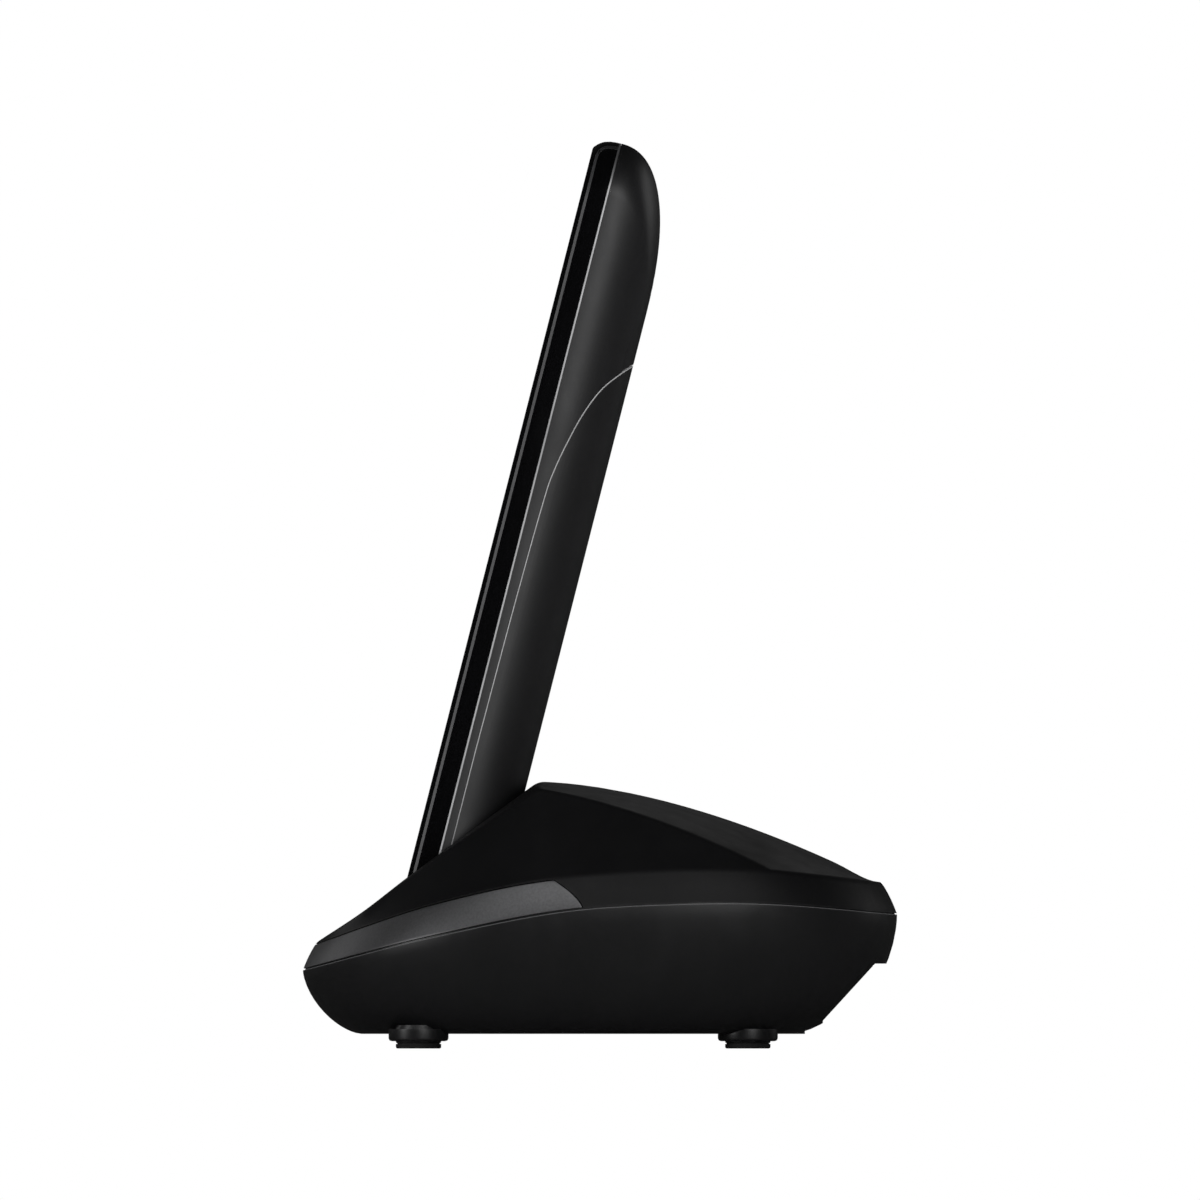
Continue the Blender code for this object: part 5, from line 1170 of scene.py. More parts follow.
FACE_EDGE = ((0.0, 0.00080, 0.0025, 0.0013), (0.00006, 0.00064, 0.0023, 0.0011),
             (0.00018, 0.00058, 0.0020, 0.0009),
             (0.00085, 0.00052, 0.0013, 0.0006))
SILVER_FRONT = TRIM_BACK - 0.00044
SIDE_EDGE = ((0.00150, 0.00010, 0.0008, 0.0003), (0.0021, 0.00004, 0.0005, 0.0002),
             (0.0031, 0.00004, 0.0002, 0.0001), (0.0044, 0.00004, 0.00004, 0.00004),
             (SILVER_FRONT, 0.00004, 0.00004, 0.00004))
BEZEL_DEPTH, BEZEL_WIDTH = 0.00119, 0.00056
BEZEL_RUN, BEZEL_MARGIN, BEZEL_POWER = 0.0034, 0.0012, 2.8


def face_ring(depth, side, top, bottom):
    outline = rounded_outline(HANDSET_HALF - side, bottom, HANDSET_LENGTH - top, BOTTOM_CORNER,
                              TOP_CORNER, 14)
    return [(x, depth, z) for x, z in outline]


def key_nodes():
    return sorted(name for name in frame["nodes"] if name.startswith("key_") and name != "key_mat")


def key_frame(name):
    """(across, height, width, length) of a key from its frame piece."""
    low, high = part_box(name)
    bottom, top = height_of(name)
    return (low[0] + high[0]) / 2, (bottom + top) / 2, high[0] - low[0], top - bottom


def key_outline(width, length_up, margin=0.0, steps=8):
    radius = min(length_up * 0.42, 0.0050) + margin
    return rounded_outline(width / 2 + margin, -length_up / 2 - margin, length_up / 2 + margin, radius,
                           radius, steps)


FRONT_WALL, WALL_FOOT, WALL_HEAD = 0.0016, 0.0022, 0.0006
TRAY_HALF, TRAY_LOW, TRAY_HIGH, TRAY_CORNER = 0.0205, 0.0260, 0.1045, 0.004
TRAY_EDGE = ((0.0008, -0.002), (0.0003, -0.0002), (0.0, 0.00025), (0.0, 0.0005))
KEY_GAP, LENS_GAP, LENS_SEAT, LENS_CORNER = 0.00022, 0.00015, 0.00125, 0.0027
BEFORE_FACE, BEHIND_FACE = -0.01, 0.0030
EARPIECE_PITCH, EARPIECE_HALF, EARPIECE_TAPER = 0.0021, 0.0054, 0.0015
EARPIECE_HALF_SLOT, EARPIECE_ROUND = 0.0006, 0.00055
MICROPHONE_HOLE = ((0.0009, -0.01), (0.0009, 0.0), (0.0006, 0.0003), (0.0006, 0.003))
PAD_ROOM, PAD_FRONT_ROOM, PAD_RECESS = 0.0005, 0.0002, 0.0019


def make_front_case():
    edges = FACE_EDGE + SIDE_EDGE
    case = stack("handset_front_shell", [face_ring(*row) for row in edges])
    inner = rounded_outline(HANDSET_HALF - FRONT_WALL, FRONT_WALL + WALL_FOOT,
                            HANDSET_LENGTH - FRONT_WALL - WALL_HEAD, BOTTOM_CORNER - FRONT_WALL,
                            TOP_CORNER - FRONT_WALL, 10)
    combine(case, extruded("inside", inner, 1, FRONT_WALL, 0.02))
    tray = []
    for grow, depth in TRAY_EDGE:
        outline = rounded_outline(TRAY_HALF + grow, TRAY_LOW - grow, TRAY_HIGH + grow, TRAY_CORNER + grow,
                                  TRAY_CORNER + grow)
        tray.append([(x, depth, z) for x, z in outline])
    combine(case, stack("tray", tray))
    for name in key_nodes():
        across, height, width, length_up = key_frame(name)
        outline = [(x + across, z + height) for x, z in key_outline(width, length_up, KEY_GAP)]
        combine(case, extruded("hole", outline, 1, BEFORE_FACE, BEHIND_FACE))
    low, high = height_of("display_window")
    half = width_of("display_window") / 2
    window = rounded_outline(half + LENS_GAP, low - LENS_GAP, high + LENS_GAP, LENS_CORNER + LENS_GAP,
                             LENS_CORNER + LENS_GAP)
    combine(case, extruded("window", window, 1, BEFORE_FACE, LENS_SEAT))
    middle = sum(height_of("earpiece_speaker")) / 2
    for step in (-1, 0, 1):
        place = middle + EARPIECE_PITCH * step
        slot = rounded_outline(EARPIECE_HALF - EARPIECE_TAPER * abs(step), place - EARPIECE_HALF_SLOT,
                               place + EARPIECE_HALF_SLOT, EARPIECE_ROUND, EARPIECE_ROUND, 5)
        combine(case, extruded("slot", slot, 1, BEFORE_FACE, BEHIND_FACE))
    place = sum(height_of("microphone")) / 2
    combine(case, turned("hole", MICROPHONE_HOLE, (0, 0, place), 1, 20))
    for name in ("charge_pad_left", "charge_pad_right"):
        low_corner, high_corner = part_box(name)
        front, back = depth_of(name)
        combine(case, block("recess", (low_corner[0] - PAD_ROOM, front - PAD_FRONT_ROOM, BEFORE_FACE),
                            (high_corner[0] + PAD_ROOM, back + PAD_ROOM, PAD_RECESS)))
    tidy_mesh(case.data)
    bevelled(case, 0.00008, 2, 50)
    completed(placed(case), FINISHES["case_gloss_black"], "handset",
              ("handset_front_case",))


def edge_insets(depth):
    """Side, top and bottom insets of the front case at a depth."""
    rows = FACE_EDGE + SIDE_EDGE
    for before, after in zip(rows, rows[1:]):
        if before[0] <= depth <= after[0]:
            part = (depth - before[0]) / (after[0] - before[0])
            return [low + (high - low) * part for low, high in zip(before[1:], after[1:])]
    return rows[-1][1:]


def side_point(height, depth, out):
    """A point of the front case's right side, moved out from its surface."""
    side, top, bottom = edge_insets(depth)
    over = height - (HANDSET_LENGTH - top - TOP_CORNER)
    under = height - (bottom + BOTTOM_CORNER)
    radius, rise = (TOP_CORNER, over) if over > 0 else (BOTTOM_CORNER, min(under, 0.0))
    tilt = math.asin(min(max(rise / radius, -1.0), 1.0))
    across = HANDSET_HALF - side - radius + (radius + out) * math.cos(tilt)
    return across, depth, height + out * math.sin(tilt)


BEZEL_CORNER_STEPS, BEZEL_SIDE_STEPS = 24, 200
BEZEL_LIFT, BEZEL_LET_IN = 0.00003, 0.0003


def bezel_path():
    """(height, depth) along the line round a side panel, from the silver line and back to it."""
    reach = SILVER_FRONT - BEZEL_DEPTH
    corner = []
    for step in range(BEZEL_CORNER_STEPS + 1):
        turn = math.radians(90 * step / BEZEL_CORNER_STEPS)
        corner.append((BEZEL_RUN * (1 - math.sin(turn) ** (2 / BEZEL_POWER)),
                       SILVER_FRONT - reach * math.cos(turn) ** (2 / BEZEL_POWER)))
    rising = [(BEZEL_MARGIN + height, depth) for height, depth in corner[::-1]]
    start, stop = BEZEL_MARGIN + BEZEL_RUN, HANDSET_LENGTH - BEZEL_MARGIN - BEZEL_RUN
    straight = [(start + (stop - start) * step / BEZEL_SIDE_STEPS, BEZEL_DEPTH)
                for step in range(1, BEZEL_SIDE_STEPS)]
    falling = [(HANDSET_LENGTH - BEZEL_MARGIN - height, depth) for height, depth in corner]
    return rising + straight + falling


def make_bezel_highlight_lines():
    """A fine grey line round the dark panel on each side of the front case: a painted highlight standing for
    the light caught by the case's edge.
    """
    path = bezel_path()
    rings = []
    for index, (height, depth) in enumerate(path):
        before, after = path[max(index - 1, 0)], path[min(index + 1, len(path) - 1)]
        along = Vector((after[0] - before[0], after[1] - before[1])).normalized() * BEZEL_WIDTH / 2
        low = (height + along.y, depth - along.x)
        high = (height - along.y, min(depth + along.x, SILVER_FRONT))
        rings.append([side_point(*low, BEZEL_LIFT), side_point(*high, BEZEL_LIFT),
                      side_point(*high, -BEZEL_LET_IN), side_point(*low, -BEZEL_LET_IN)])
    for word, side in (("left", -1), ("right", 1)):
        ladder = [[(side * x, y, z) for x, y, z in ring] for ring in rings]
        highlight_line = stack("handset_bezel_line_" + word, ladder, ladder=True)
        completed(placed(highlight_line), FINISHES["bezel_line"], "handset")


SILVER_INSET, SILVER_EDGE_INSET, SILVER_EDGE = 0.00003, 0.0001, 0.00007
WEB_OUTER, WEB_INNER, WEB_OVERLAP = 0.0004, 0.0013, 0.0005


def make_trim_band():
    """A thin plated line between the cases, on a web that is let into both of them."""
    rings = []
    top, low = TRIM_BACK, SILVER_FRONT
    web_top, web_low = top + WEB_OVERLAP, low - WEB_OVERLAP
    for inset, depth in ((SILVER_EDGE_INSET, low), (SILVER_INSET, low + SILVER_EDGE),
                         (SILVER_INSET, top - SILVER_EDGE), (SILVER_EDGE_INSET, top), (WEB_OUTER, top),
                         (WEB_OUTER, web_top), (WEB_INNER, web_top), (WEB_INNER, web_low),
                         (WEB_OUTER, web_low), (WEB_OUTER, low)):
        outline = rounded_outline(HANDSET_HALF - inset, inset, HANDSET_LENGTH - inset, BOTTOM_CORNER - inset,
                                  TOP_CORNER - inset, 20)
        rings.append([(x, depth, z) for x, z in outline])
    completed(placed(sleeve("handset_silver_line", rings)), FINISHES["trim_silver"], "handset",
              ("handset_trim_band",))


DOOR_SEAM_STEPS, DOOR_SEAM_CROWDING = 60, 0.7
DOOR_MARGIN_RISE = 0.6
DOOR_CUT_BACK, DOOR_CUT_REACH, DOOR_CUT_HALF = 0.040, 0.020, 0.060


def door_region(name, margin):
    """Everything behind the door's seam, in side view."""
    seam = curve_through([(height, depth) for depth, height in reversed(DOOR_SEAM)])
    low, high = DOOR_SEAM[-1][1], DOOR_SEAM[0][1]
    heights = [low + (high - low) * (step / DOOR_SEAM_STEPS) ** DOOR_SEAM_CROWDING
               for step in range(DOOR_SEAM_STEPS + 1)]
    outline = [(seam(height) - margin, height + margin * DOOR_MARGIN_RISE) for height in reversed(heights)]
    outline.insert(0, (DOOR_CUT_BACK, heights[-1] + margin + DOOR_CUT_REACH))
    outline.append((DOOR_SEAM[-1][0] - margin, -DOOR_CUT_REACH))
    outline.append((DOOR_CUT_BACK, -DOOR_CUT_REACH))
    return extruded(name, outline, 0, -DOOR_CUT_HALF, DOOR_CUT_HALF)


REAR_START = TRIM_BACK + 0.00003
DOOR_BACKING, LIP_INSET, LIP_GAP = 0.0003, 0.0002, 0.00002
SEAM_PROUD, SEAM_THICKNESS = 0.00001, 0.00025
CELL_ROOM = 0.0003
BAY_FRONT, BAY_BACK, BAY_LOW, BAY_HIGH = 0.0065, 0.030, 0.0250, 0.0770
CHAMBER_HALF, CHAMBER_LOW, CHAMBER_HIGH, CHAMBER_DEPTH = 0.0165, 0.0940, 0.1580, 0.0138
CHAMBER_LOW_ROUND, CHAMBER_HIGH_ROUND = 0.003, 0.006
RINGER_SLOTS, RINGER_PITCH, RINGER_HALF, RINGER_TAPER = 5, 0.0026, 0.0060, 0.0008
RINGER_HALF_SLOT, RINGER_ROUND, RINGER_FRONT = 0.0005, 0.00045, 0.010
SCREW_HOLE, SCREW_HEAD_HOLE, SCREW_SEAT = 0.0013, 0.0025, 0.0095
PAST_BACK = 0.030


def make_rear_case():
    settings = bpy.context.scene.telephone_handset
    gap, highlight_line = settings.seam_gap, settings.seam_highlight_line
    case = stack("handset_rear_shell", back_rings(0.0, REAR_START))
    room = door_region("room", gap)
    combine(room, stack("core", back_rings(DOOR_THICKNESS + DOOR_BACKING, 0.0)))
    combine(case, room)
    door = stack("battery_door_shell", back_rings(0.0, REAR_START))
    combine(door, door_region("region", -highlight_line), "INTERSECT")
    lip = stack("lip", back_rings(LIP_INSET, 0.0))
    combine(lip, door_region("region", gap - LIP_GAP), "INTERSECT")
    combine(door, lip, "UNION")
    combine(door, stack("core", back_rings(DOOR_THICKNESS, 0.0)))
    # A light strip along the door's edge that paints the highlight of the seam's chamfer.
    edge = stack("battery_door_seam", back_rings(-SEAM_PROUD, REAR_START))
    combine(edge, door_region("region", 0.0), "INTERSECT")
    combine(edge, door_region("region", -highlight_line))
    combine(edge, stack("core", back_rings(SEAM_THICKNESS, 0.0)))
    low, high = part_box("battery_cell_right")
    half_bay = high[0] + CELL_ROOM
    combine(case, block("bay", (-half_bay, BAY_FRONT, BAY_LOW), (half_bay, BAY_BACK, BAY_HIGH)))
    chamber = rounded_outline(CHAMBER_HALF, CHAMBER_LOW, CHAMBER_HIGH, CHAMBER_LOW_ROUND,
                              CHAMBER_HIGH_ROUND, 5)
    combine(case, extruded("chamber", chamber, 1, 0.0, CHAMBER_DEPTH))
    middle = sum(height_of("ringer_speaker")) / 2
    for step in range(-(RINGER_SLOTS // 2), RINGER_SLOTS // 2 + 1):
        place = middle + step * RINGER_PITCH
        slot = rounded_outline(RINGER_HALF - RINGER_TAPER * abs(step), place - RINGER_HALF_SLOT,
                               place + RINGER_HALF_SLOT, RINGER_ROUND, RINGER_ROUND, 5)
        combine(case, extruded("slot", slot, 1, RINGER_FRONT, PAST_BACK))
    for name in ("handset_screw_left", "handset_screw_right"):
        low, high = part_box(name)
        centre = ((low[0] + high[0]) / 2, 0, sum(height_of(name)) / 2)
        hole = ((SCREW_HOLE, 0.0), (SCREW_HOLE, SCREW_SEAT), (SCREW_HEAD_HOLE, SCREW_SEAT),
                (SCREW_HEAD_HOLE, PAST_BACK))
        combine(case, turned("hole", hole, centre, 1, 24))
    for piece in (case, door):
        tidy_mesh(piece.data)
        bevelled(piece, 0.00010, 2, 50)
        placed(piece)
    completed(case, FINISHES["case_satin_black"], "handset", ("handset_rear_case",))
    completed(door, FINISHES["door_satin_black"], "battery_door", ("battery_door",))
    completed(placed(edge), FINISHES["door_seam"], "battery_door")


WINDOW_EDGE = ((0.0, 0.0011), (0.0, 0.0003), (0.00006, 0.00016), (0.00022, 0.00008), (0.0008, 0.00005))


def make_window():
    low, high = height_of("display_window")
    half = width_of("display_window") / 2
    rings = []
    for inset, depth in WINDOW_EDGE:
        outline = rounded_outline(half - inset, low + inset, high - inset, LENS_CORNER, LENS_CORNER)
        rings.append([(x, depth, z) for x, z in outline])
    window = stack("display_lens", rings)
    place = window.data.attributes.new("window", "FLOAT_VECTOR", "POINT")
    middle = (low + high) / 2
    for index, vertex in enumerate(window.data.vertices):
        place.data[index].vector = (vertex.co.x / half, (vertex.co.z - middle) / (high - middle), 0.0)
    completed(placed(window), FINISHES["window_lens"], "handset", ("display_window",))


LEGENDS = {"key_star": "*", "key_hash": "#", "key_recall": "R"}
LETTERS = {"2": "ABC", "3": "DEF", "4": "GHI", "5": "JKL", "6": "MNO", "7": "PQRS", "8": "TUV", "9": "WXYZ"}


def printed_text(name, words, size, across, height, depth):
    """Flat lettering made into a thin mesh on a key."""
    curve = bpy.data.curves.new(name, "FONT")
    curve.body = words
    curve.size = size
    curve.align_x = "CENTER"
    curve.align_y = "CENTER"
    curve.extrude = bpy.context.scene.telephone_handset.legend_thickness
    text = bpy.data.objects.new(name, curve)
    bpy.context.scene.collection.objects.link(text)
    bpy.context.view_layer.update()
    mesh = bpy.data.meshes.new_from_object(text.evaluated_get(bpy.context.evaluated_depsgraph_get()))
    bpy.data.objects.remove(text)
    piece = bpy.data.objects.new(name, mesh)
    bpy.context.scene.collection.objects.link(piece)
    stand = Matrix.Translation((across, depth, height)) @ Matrix.Rotation(math.radians(90), 4, "X")
    return placed(placed(piece, stand))


RECEIVER_START, RECEIVER_TURN, RECEIVER_STEPS = 210, 120, 16
RECEIVER_OUTER, RECEIVER_INNER, RECEIVER_END, RECEIVER_RISE = 0.0026, 0.0019, 0.0005, 0.0016
ARROW = ((-0.0009, 0.0), (0.0009, 0.0), (0.0, 0.0010))


def handset_symbol(name, across, height, depth, turn):
    """A small generic receiver sign: a curved bar with two round ends."""
    thickness = bpy.context.scene.telephone_handset.legend_thickness
    outline = []
    for step in range(RECEIVER_STEPS + 1):
        angle = math.radians(RECEIVER_START + RECEIVER_TURN * step / RECEIVER_STEPS)
        outline.append((RECEIVER_OUTER * math.cos(angle), RECEIVER_OUTER * math.sin(angle) + RECEIVER_RISE))
    for step in range(RECEIVER_STEPS + 1):
        angle = math.radians(RECEIVER_START + RECEIVER_TURN - RECEIVER_TURN * step / RECEIVER_STEPS)
        end = math.cos(math.radians(90 - 180 * step / RECEIVER_STEPS)) ** 8
        radius = RECEIVER_INNER - RECEIVER_END * end
        outline.append((radius * math.cos(angle), radius * math.sin(angle) + RECEIVER_RISE))
    spin = Matrix.Rotation(math.radians(turn), 2)
    points = [spin @ Vector(point) for point in outline]
    sign = extruded(name, [(x + across, z + height) for x, z in points], 1, depth - thickness,
                    depth + thickness)
    return placed(sign)


def arrow_symbol(name, across, height, depth, turn):
    thickness = bpy.context.scene.telephone_handset.legend_thickness
    spin = Matrix.Rotation(math.radians(turn), 2)
    points = [spin @ Vector(point) for point in ARROW]
    sign = extruded(name, [(x + across, z + height) for x, z in points], 1, depth - thickness,
                    depth + thickness)
    return placed(sign)


def joined(name, pieces):
    """One object from several meshes."""
    work = bmesh.new()
    for piece in pieces:
        work.from_mesh(piece.data)
        bpy.data.objects.remove(piece)
    mesh = bpy.data.meshes.new(name)
    work.to_mesh(mesh)
    work.free()
    result = bpy.data.objects.new(name, mesh)
    bpy.context.scene.collection.objects.link(result)
    return result


KEY_CROWN = ((0.0, 0.00075), (0.00005, 0.00055), (0.00025, 0.0003), (0.0006, 0.00012), (0.0011, 0.00004),
             (0.0018, 0.0))


def key_profile(name):
    """(inset, depth) rings of a key, from its edge in the hole up to its crown."""
    front, back = depth_of(name)
    return [(0.0, back)] + [(inset, front + drop) for inset, drop in KEY_CROWN]


def make_keys():
    finishes = {"key_talk": "key_green", "key_off": "key_red", "key_navigation": "key_graphite"}
    size = bpy.context.scene.telephone_handset.legend_height
    for name in key_nodes():
        across, height, width, length_up = key_frame(name)
        depth = depth_of(name)[0]
        rings = []
        for inset, place in key_profile(name):
            outline = key_outline(width - 2 * inset, length_up - 2 * inset)
            rings.append([(x + across, place, z + height) for x, z in outline])
        cap = placed(stack(name + "_cap", rings))
        finish = finishes.get(name, "key_plastic")
        completed(cap, FINISHES[finish], name, (name,))
        label = name[4:]
        print_name = "legend_" + label
        if label in LETTERS:
            parts = [printed_text(print_name, label, size, across - 0.0022, height, depth),
                     printed_text(print_name, LETTERS[label], size * 0.52, across + 0.0021, height, depth)]
        elif label.isdigit():
            parts = [printed_text(print_name, label, size, across, height, depth)]
        elif name in LEGENDS:
            lower = 0.0008 if label == "star" else 0.0
            parts = [printed_text(print_name, LEGENDS[name], size * 1.1, across, height - lower, depth)]
        elif name == "key_talk":
            parts = [handset_symbol(print_name, across, height + 0.0002, depth, 0)]
        elif name == "key_off":
            parts = [handset_symbol(print_name, across, height - 0.0002, depth, 180)]
        elif name == "key_navigation":
            places = ((0, 0.0034, 0), (0, -0.0034, 180), (-0.0050, 0, 90), (0.0050, 0, -90))
            parts = [arrow_symbol(print_name, across + x, height + z, depth + 0.00001, turn) for x, z,
                     turn in places]
        else:
            dash = rounded_outline(0.0014, -0.00022, 0.00022, 0.0002, 0.0002, 4)
            thickness = bpy.context.scene.telephone_handset.legend_thickness
            bar = extruded(print_name, [(x + across, z + height) for x, z in dash], 1, depth - thickness,
                           depth + thickness)
            parts = [placed(bar)]
        legend = joined(print_name, parts)
        completed(legend, FINISHES["legend"], name)


# Repeated pieces --------------------------------------------------------------------------------


def screw_tree():
    """Geometry nodes: a pan head with a cross recess and a plain shank on every point."""
    tree = bpy.data.node_groups.new("Screws on points", "GeometryNodeTree")
    tree.interface.new_socket("Geometry", in_out="INPUT", socket_type="NodeSocketGeometry")
    for label, default in (("Head radius", 0.0028), ("Head height", 0.0020), ("Shank radius", 0.0014),
                           ("Shank length", 0.0139), ("Recess", 0.0009)):
        socket = tree.interface.new_socket(label, in_out="INPUT", socket_type="NodeSocketFloat")
        socket.default_value = default
    tree.interface.new_socket("Turn", in_out="INPUT", socket_type="NodeSocketVector")
    tree.interface.new_socket("Finish", in_out="INPUT", socket_type="NodeSocketMaterial")
    tree.interface.new_socket("Geometry", in_out="OUTPUT", socket_type="NodeSocketGeometry")
    nodes = Nodes(tree)
    given = nodes.add("NodeGroupInput").outputs
    head = nodes.add("GeometryNodeMeshCone",
                     {"Vertices": 28, "Side Segments": 1, "Radius Top": given["Head radius"],
                                              "Radius Bottom": nodes.math("MULTIPLY", given["Head radius"],
                                                                          0.82),
                                              "Depth": given["Head height"]})
    shank = nodes.add("GeometryNodeMeshCylinder", {"Vertices": 16, "Radius": given["Shank radius"],
                                                   "Depth": given["Shank length"]})
    shift = nodes.add("ShaderNodeCombineXYZ", {"Z": nodes.math(
        "ADD", given["Head height"], nodes.math("MULTIPLY", given["Shank length"], 0.5))})
    low_shank = nodes.add("GeometryNodeTransform", {"Geometry": shank.outputs["Mesh"],
                                                    "Translation": shift.outputs["Vector"]})
    arm_long = nodes.math("MULTIPLY", given["Head radius"], 1.15)
    arm_wide = nodes.math("MULTIPLY", given["Head radius"], 0.26)
    deep = nodes.math("MULTIPLY", given["Recess"], 2.0)
    arms = []
    for first, second in ((arm_long, arm_wide), (arm_wide, arm_long)):
        size = nodes.add("ShaderNodeCombineXYZ", {"X": first, "Y": second, "Z": deep})
        arms.append(nodes.add("GeometryNodeMeshCube", {"Size": size.outputs["Vector"]}).outputs["Mesh"])
    cross = nodes.add("GeometryNodeJoinGeometry")
    for arm in arms:
        tree.links.new(arm, cross.inputs["Geometry"])
    cut = nodes.add("GeometryNodeMeshBoolean", operation="DIFFERENCE", solver="EXACT")
    tree.links.new(head.outputs["Mesh"], cut.inputs["Mesh 1"])
    tree.links.new(cross.outputs["Geometry"], cut.inputs["Mesh 2"])
    cut.inputs["Self Intersection"].default_value = True
    whole = nodes.add("GeometryNodeJoinGeometry")
    tree.links.new(cut.outputs["Mesh"], whole.inputs["Geometry"])
    tree.links.new(low_shank.outputs["Geometry"], whole.inputs["Geometry"])
    spread = nodes.add("GeometryNodeInstanceOnPoints", {"Points": given["Geometry"],
                                                        "Instance": whole.outputs["Geometry"],
                                                        "Rotation": given["Turn"]})
    real = nodes.add("GeometryNodeRealizeInstances", {"Geometry": spread.outputs["Instances"]})
    dressed = nodes.add("GeometryNodeSetMaterial", {"Geometry": real.outputs["Geometry"],
                                                    "Material": given["Finish"]})
    nodes.add("NodeGroupOutput", {"Geometry": dressed.outputs["Geometry"]})
    return tree


def slat_tree():
    """Geometry nodes: round ribs with flat ends in a row, all turned alike."""
    tree = bpy.data.node_groups.new("Ribs in a row", "GeometryNodeTree")
    for label, default in (("Pitch", 0.0020), ("Rib length", 0.0100), ("Rib radius", 0.0002)):
        socket = tree.interface.new_socket(label, in_out="INPUT", socket_type="NodeSocketFloat")
        socket.default_value = default
    tree.interface.new_socket("Count", in_out="INPUT", socket_type="NodeSocketInt").default_value = 6
    tree.interface.new_socket("Finish", in_out="INPUT", socket_type="NodeSocketMaterial")
    tree.interface.new_socket("Geometry", in_out="OUTPUT", socket_type="NodeSocketGeometry")
    nodes = Nodes(tree)
    given = nodes.add("NodeGroupInput").outputs
    rib = nodes.add("GeometryNodeMeshCylinder", {"Vertices": 12, "Radius": given["Rib radius"],
                                                 "Depth": given["Rib length"]})
    step = nodes.add("ShaderNodeCombineXYZ", {"X": given["Pitch"]})
    row = nodes.add("GeometryNodeMeshLine", {"Count": given["Count"], "Offset": step.outputs["Vector"]})
    spread = nodes.add("GeometryNodeInstanceOnPoints",
                       {"Points": row.outputs["Mesh"], "Instance": rib.outputs["Mesh"]})
    real = nodes.add("GeometryNodeRealizeInstances", {"Geometry": spread.outputs["Instances"]})
    dressed = nodes.add("GeometryNodeSetMaterial", {"Geometry": real.outputs["Geometry"],
                                                    "Material": given["Finish"]})
    nodes.add("NodeGroupOutput", {"Geometry": dressed.outputs["Geometry"]})
    return tree


def grown(name, tree, values, points=None):
    """A plain mesh from a geometry node tree, with its inputs set by name."""
    mesh = bpy.data.meshes.new(name)
    mesh.from_pydata(points or [(0, 0, 0)], [], [])
    seed = bpy.data.objects.new(name, mesh)
    bpy.context.scene.collection.objects.link(seed)
    modifier = seed.modifiers.new("Grow", "NODES")
    modifier.node_group = tree
    for item in tree.interface.items_tree:
        if item.in_out == "INPUT" and item.name in values:
            modifier[item.identifier] = values[item.name]
    bpy.context.view_layer.update()
    result = bpy.data.meshes.new_from_object(seed.evaluated_get(bpy.context.evaluated_depsgraph_get()))
    seed.modifiers.clear()
    seed.data = result
    return seed


def make_screws():
    tree = screw_tree()
    low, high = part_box("base_screw_front_left")
    places = [(x, y, low[2] + 0.0010) for y in SCREW_ROWS for x in (-SCREW_X, SCREW_X)]
    values = {"Head radius": (high[0] - low[0]) / 2, "Head height": 0.0020, "Shank radius": 0.0014,
              "Shank length": high[2] - low[2] - 0.0020 - 0.0010, "Recess": 0.0009, "Turn": (0.0, 0.0, 0.0),
              "Finish": FINISHES["screw_steel"]}
    screws = grown("base_screw_set", tree, values, places)
    nodes = [name for name in frame["nodes"] if name.startswith("base_screw_")]
    completed(screws, FINISHES["screw_steel"], "base", nodes)
    front, back = depth_of("handset_screw_left")
    centre = sum(height_of("handset_screw_left")) / 2
    across = (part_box("handset_screw_right")[0][0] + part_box("handset_screw_right")[1][0]) / 2
    values.update({"Head radius": 0.0022, "Head height": 0.0014, "Shank radius": 0.00095,
                   "Shank length": back - front - 0.0014 - 0.0007, "Turn": (math.radians(90), 0.0, 0.0)})
    places = [(side * across, back - 0.0007, centre) for side in (-1, 1)]
    screws = placed(grown("handset_screw_set", tree, values, places))
    completed(screws, FINISHES["screw_steel"], "handset",
              ("handset_screw_left", "handset_screw_right"))


def make_socket_contacts():
    """Fine spring wires inside the line socket."""
    tree = slat_tree()
    low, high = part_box("line_jack")
    values = {"Pitch": 0.00102, "Rib length": 0.0070, "Rib radius": 0.00016, "Count": 4,
              "Finish": FINISHES["contact_gold"]}
    wires = grown("line_socket_wires", tree, values)
    middle = (low[0] + high[0]) / 2
    tilt = Matrix.Rotation(math.radians(62), 4, "X")
    stand = Matrix.Translation((middle - 0.00153, high[1] - 0.0055, (low[2] + high[2]) / 2 + 0.0005)) @ tilt
    completed(placed(wires, stand), FINISHES["contact_gold"], "base")


def make_speaker_mesh():
    """A fine cloth behind the earpiece slots."""
    middle = sum(height_of("earpiece_speaker")) / 2
    outline = rounded_outline(0.0062, middle - 0.0034, middle + 0.0034, 0.002, 0.002, 6)
    cloth = extruded("earpiece_cloth", outline, 1, 0.0012, 0.00135)
    completed(placed(cloth), FINISHES["speaker_mesh"], "handset")


INNER = {
    "base_circuit_board": "board_green", "page_switch_board": "board_green",
    "handset_circuit_board": "board_green",
    "line_jack": "socket_black", "power_jack": "socket_black", "contact_carrier": "socket_black",
    "base_aerial": "contact_gold", "handset_aerial": "contact_gold", "charge_contact_left": "contact_gold",
    "charge_contact_right": "contact_gold", "charge_pad_left": "contact_gold",
    "charge_pad_right": "contact_gold",
    "display_module": "display_glass", "key_mat": "mat_rubber", "earpiece_speaker": "speaker_grey",
    "ringer_speaker": "speaker_grey", "microphone": "screw_steel", "battery_cell_left": "cell_sleeve",
    "battery_cell_right": "cell_sleeve", "battery_spring_contact": "screw_steel",
    "battery_plate_contact": "screw_steel",
}


# Stage ------------------------------------------------------------------------------------------


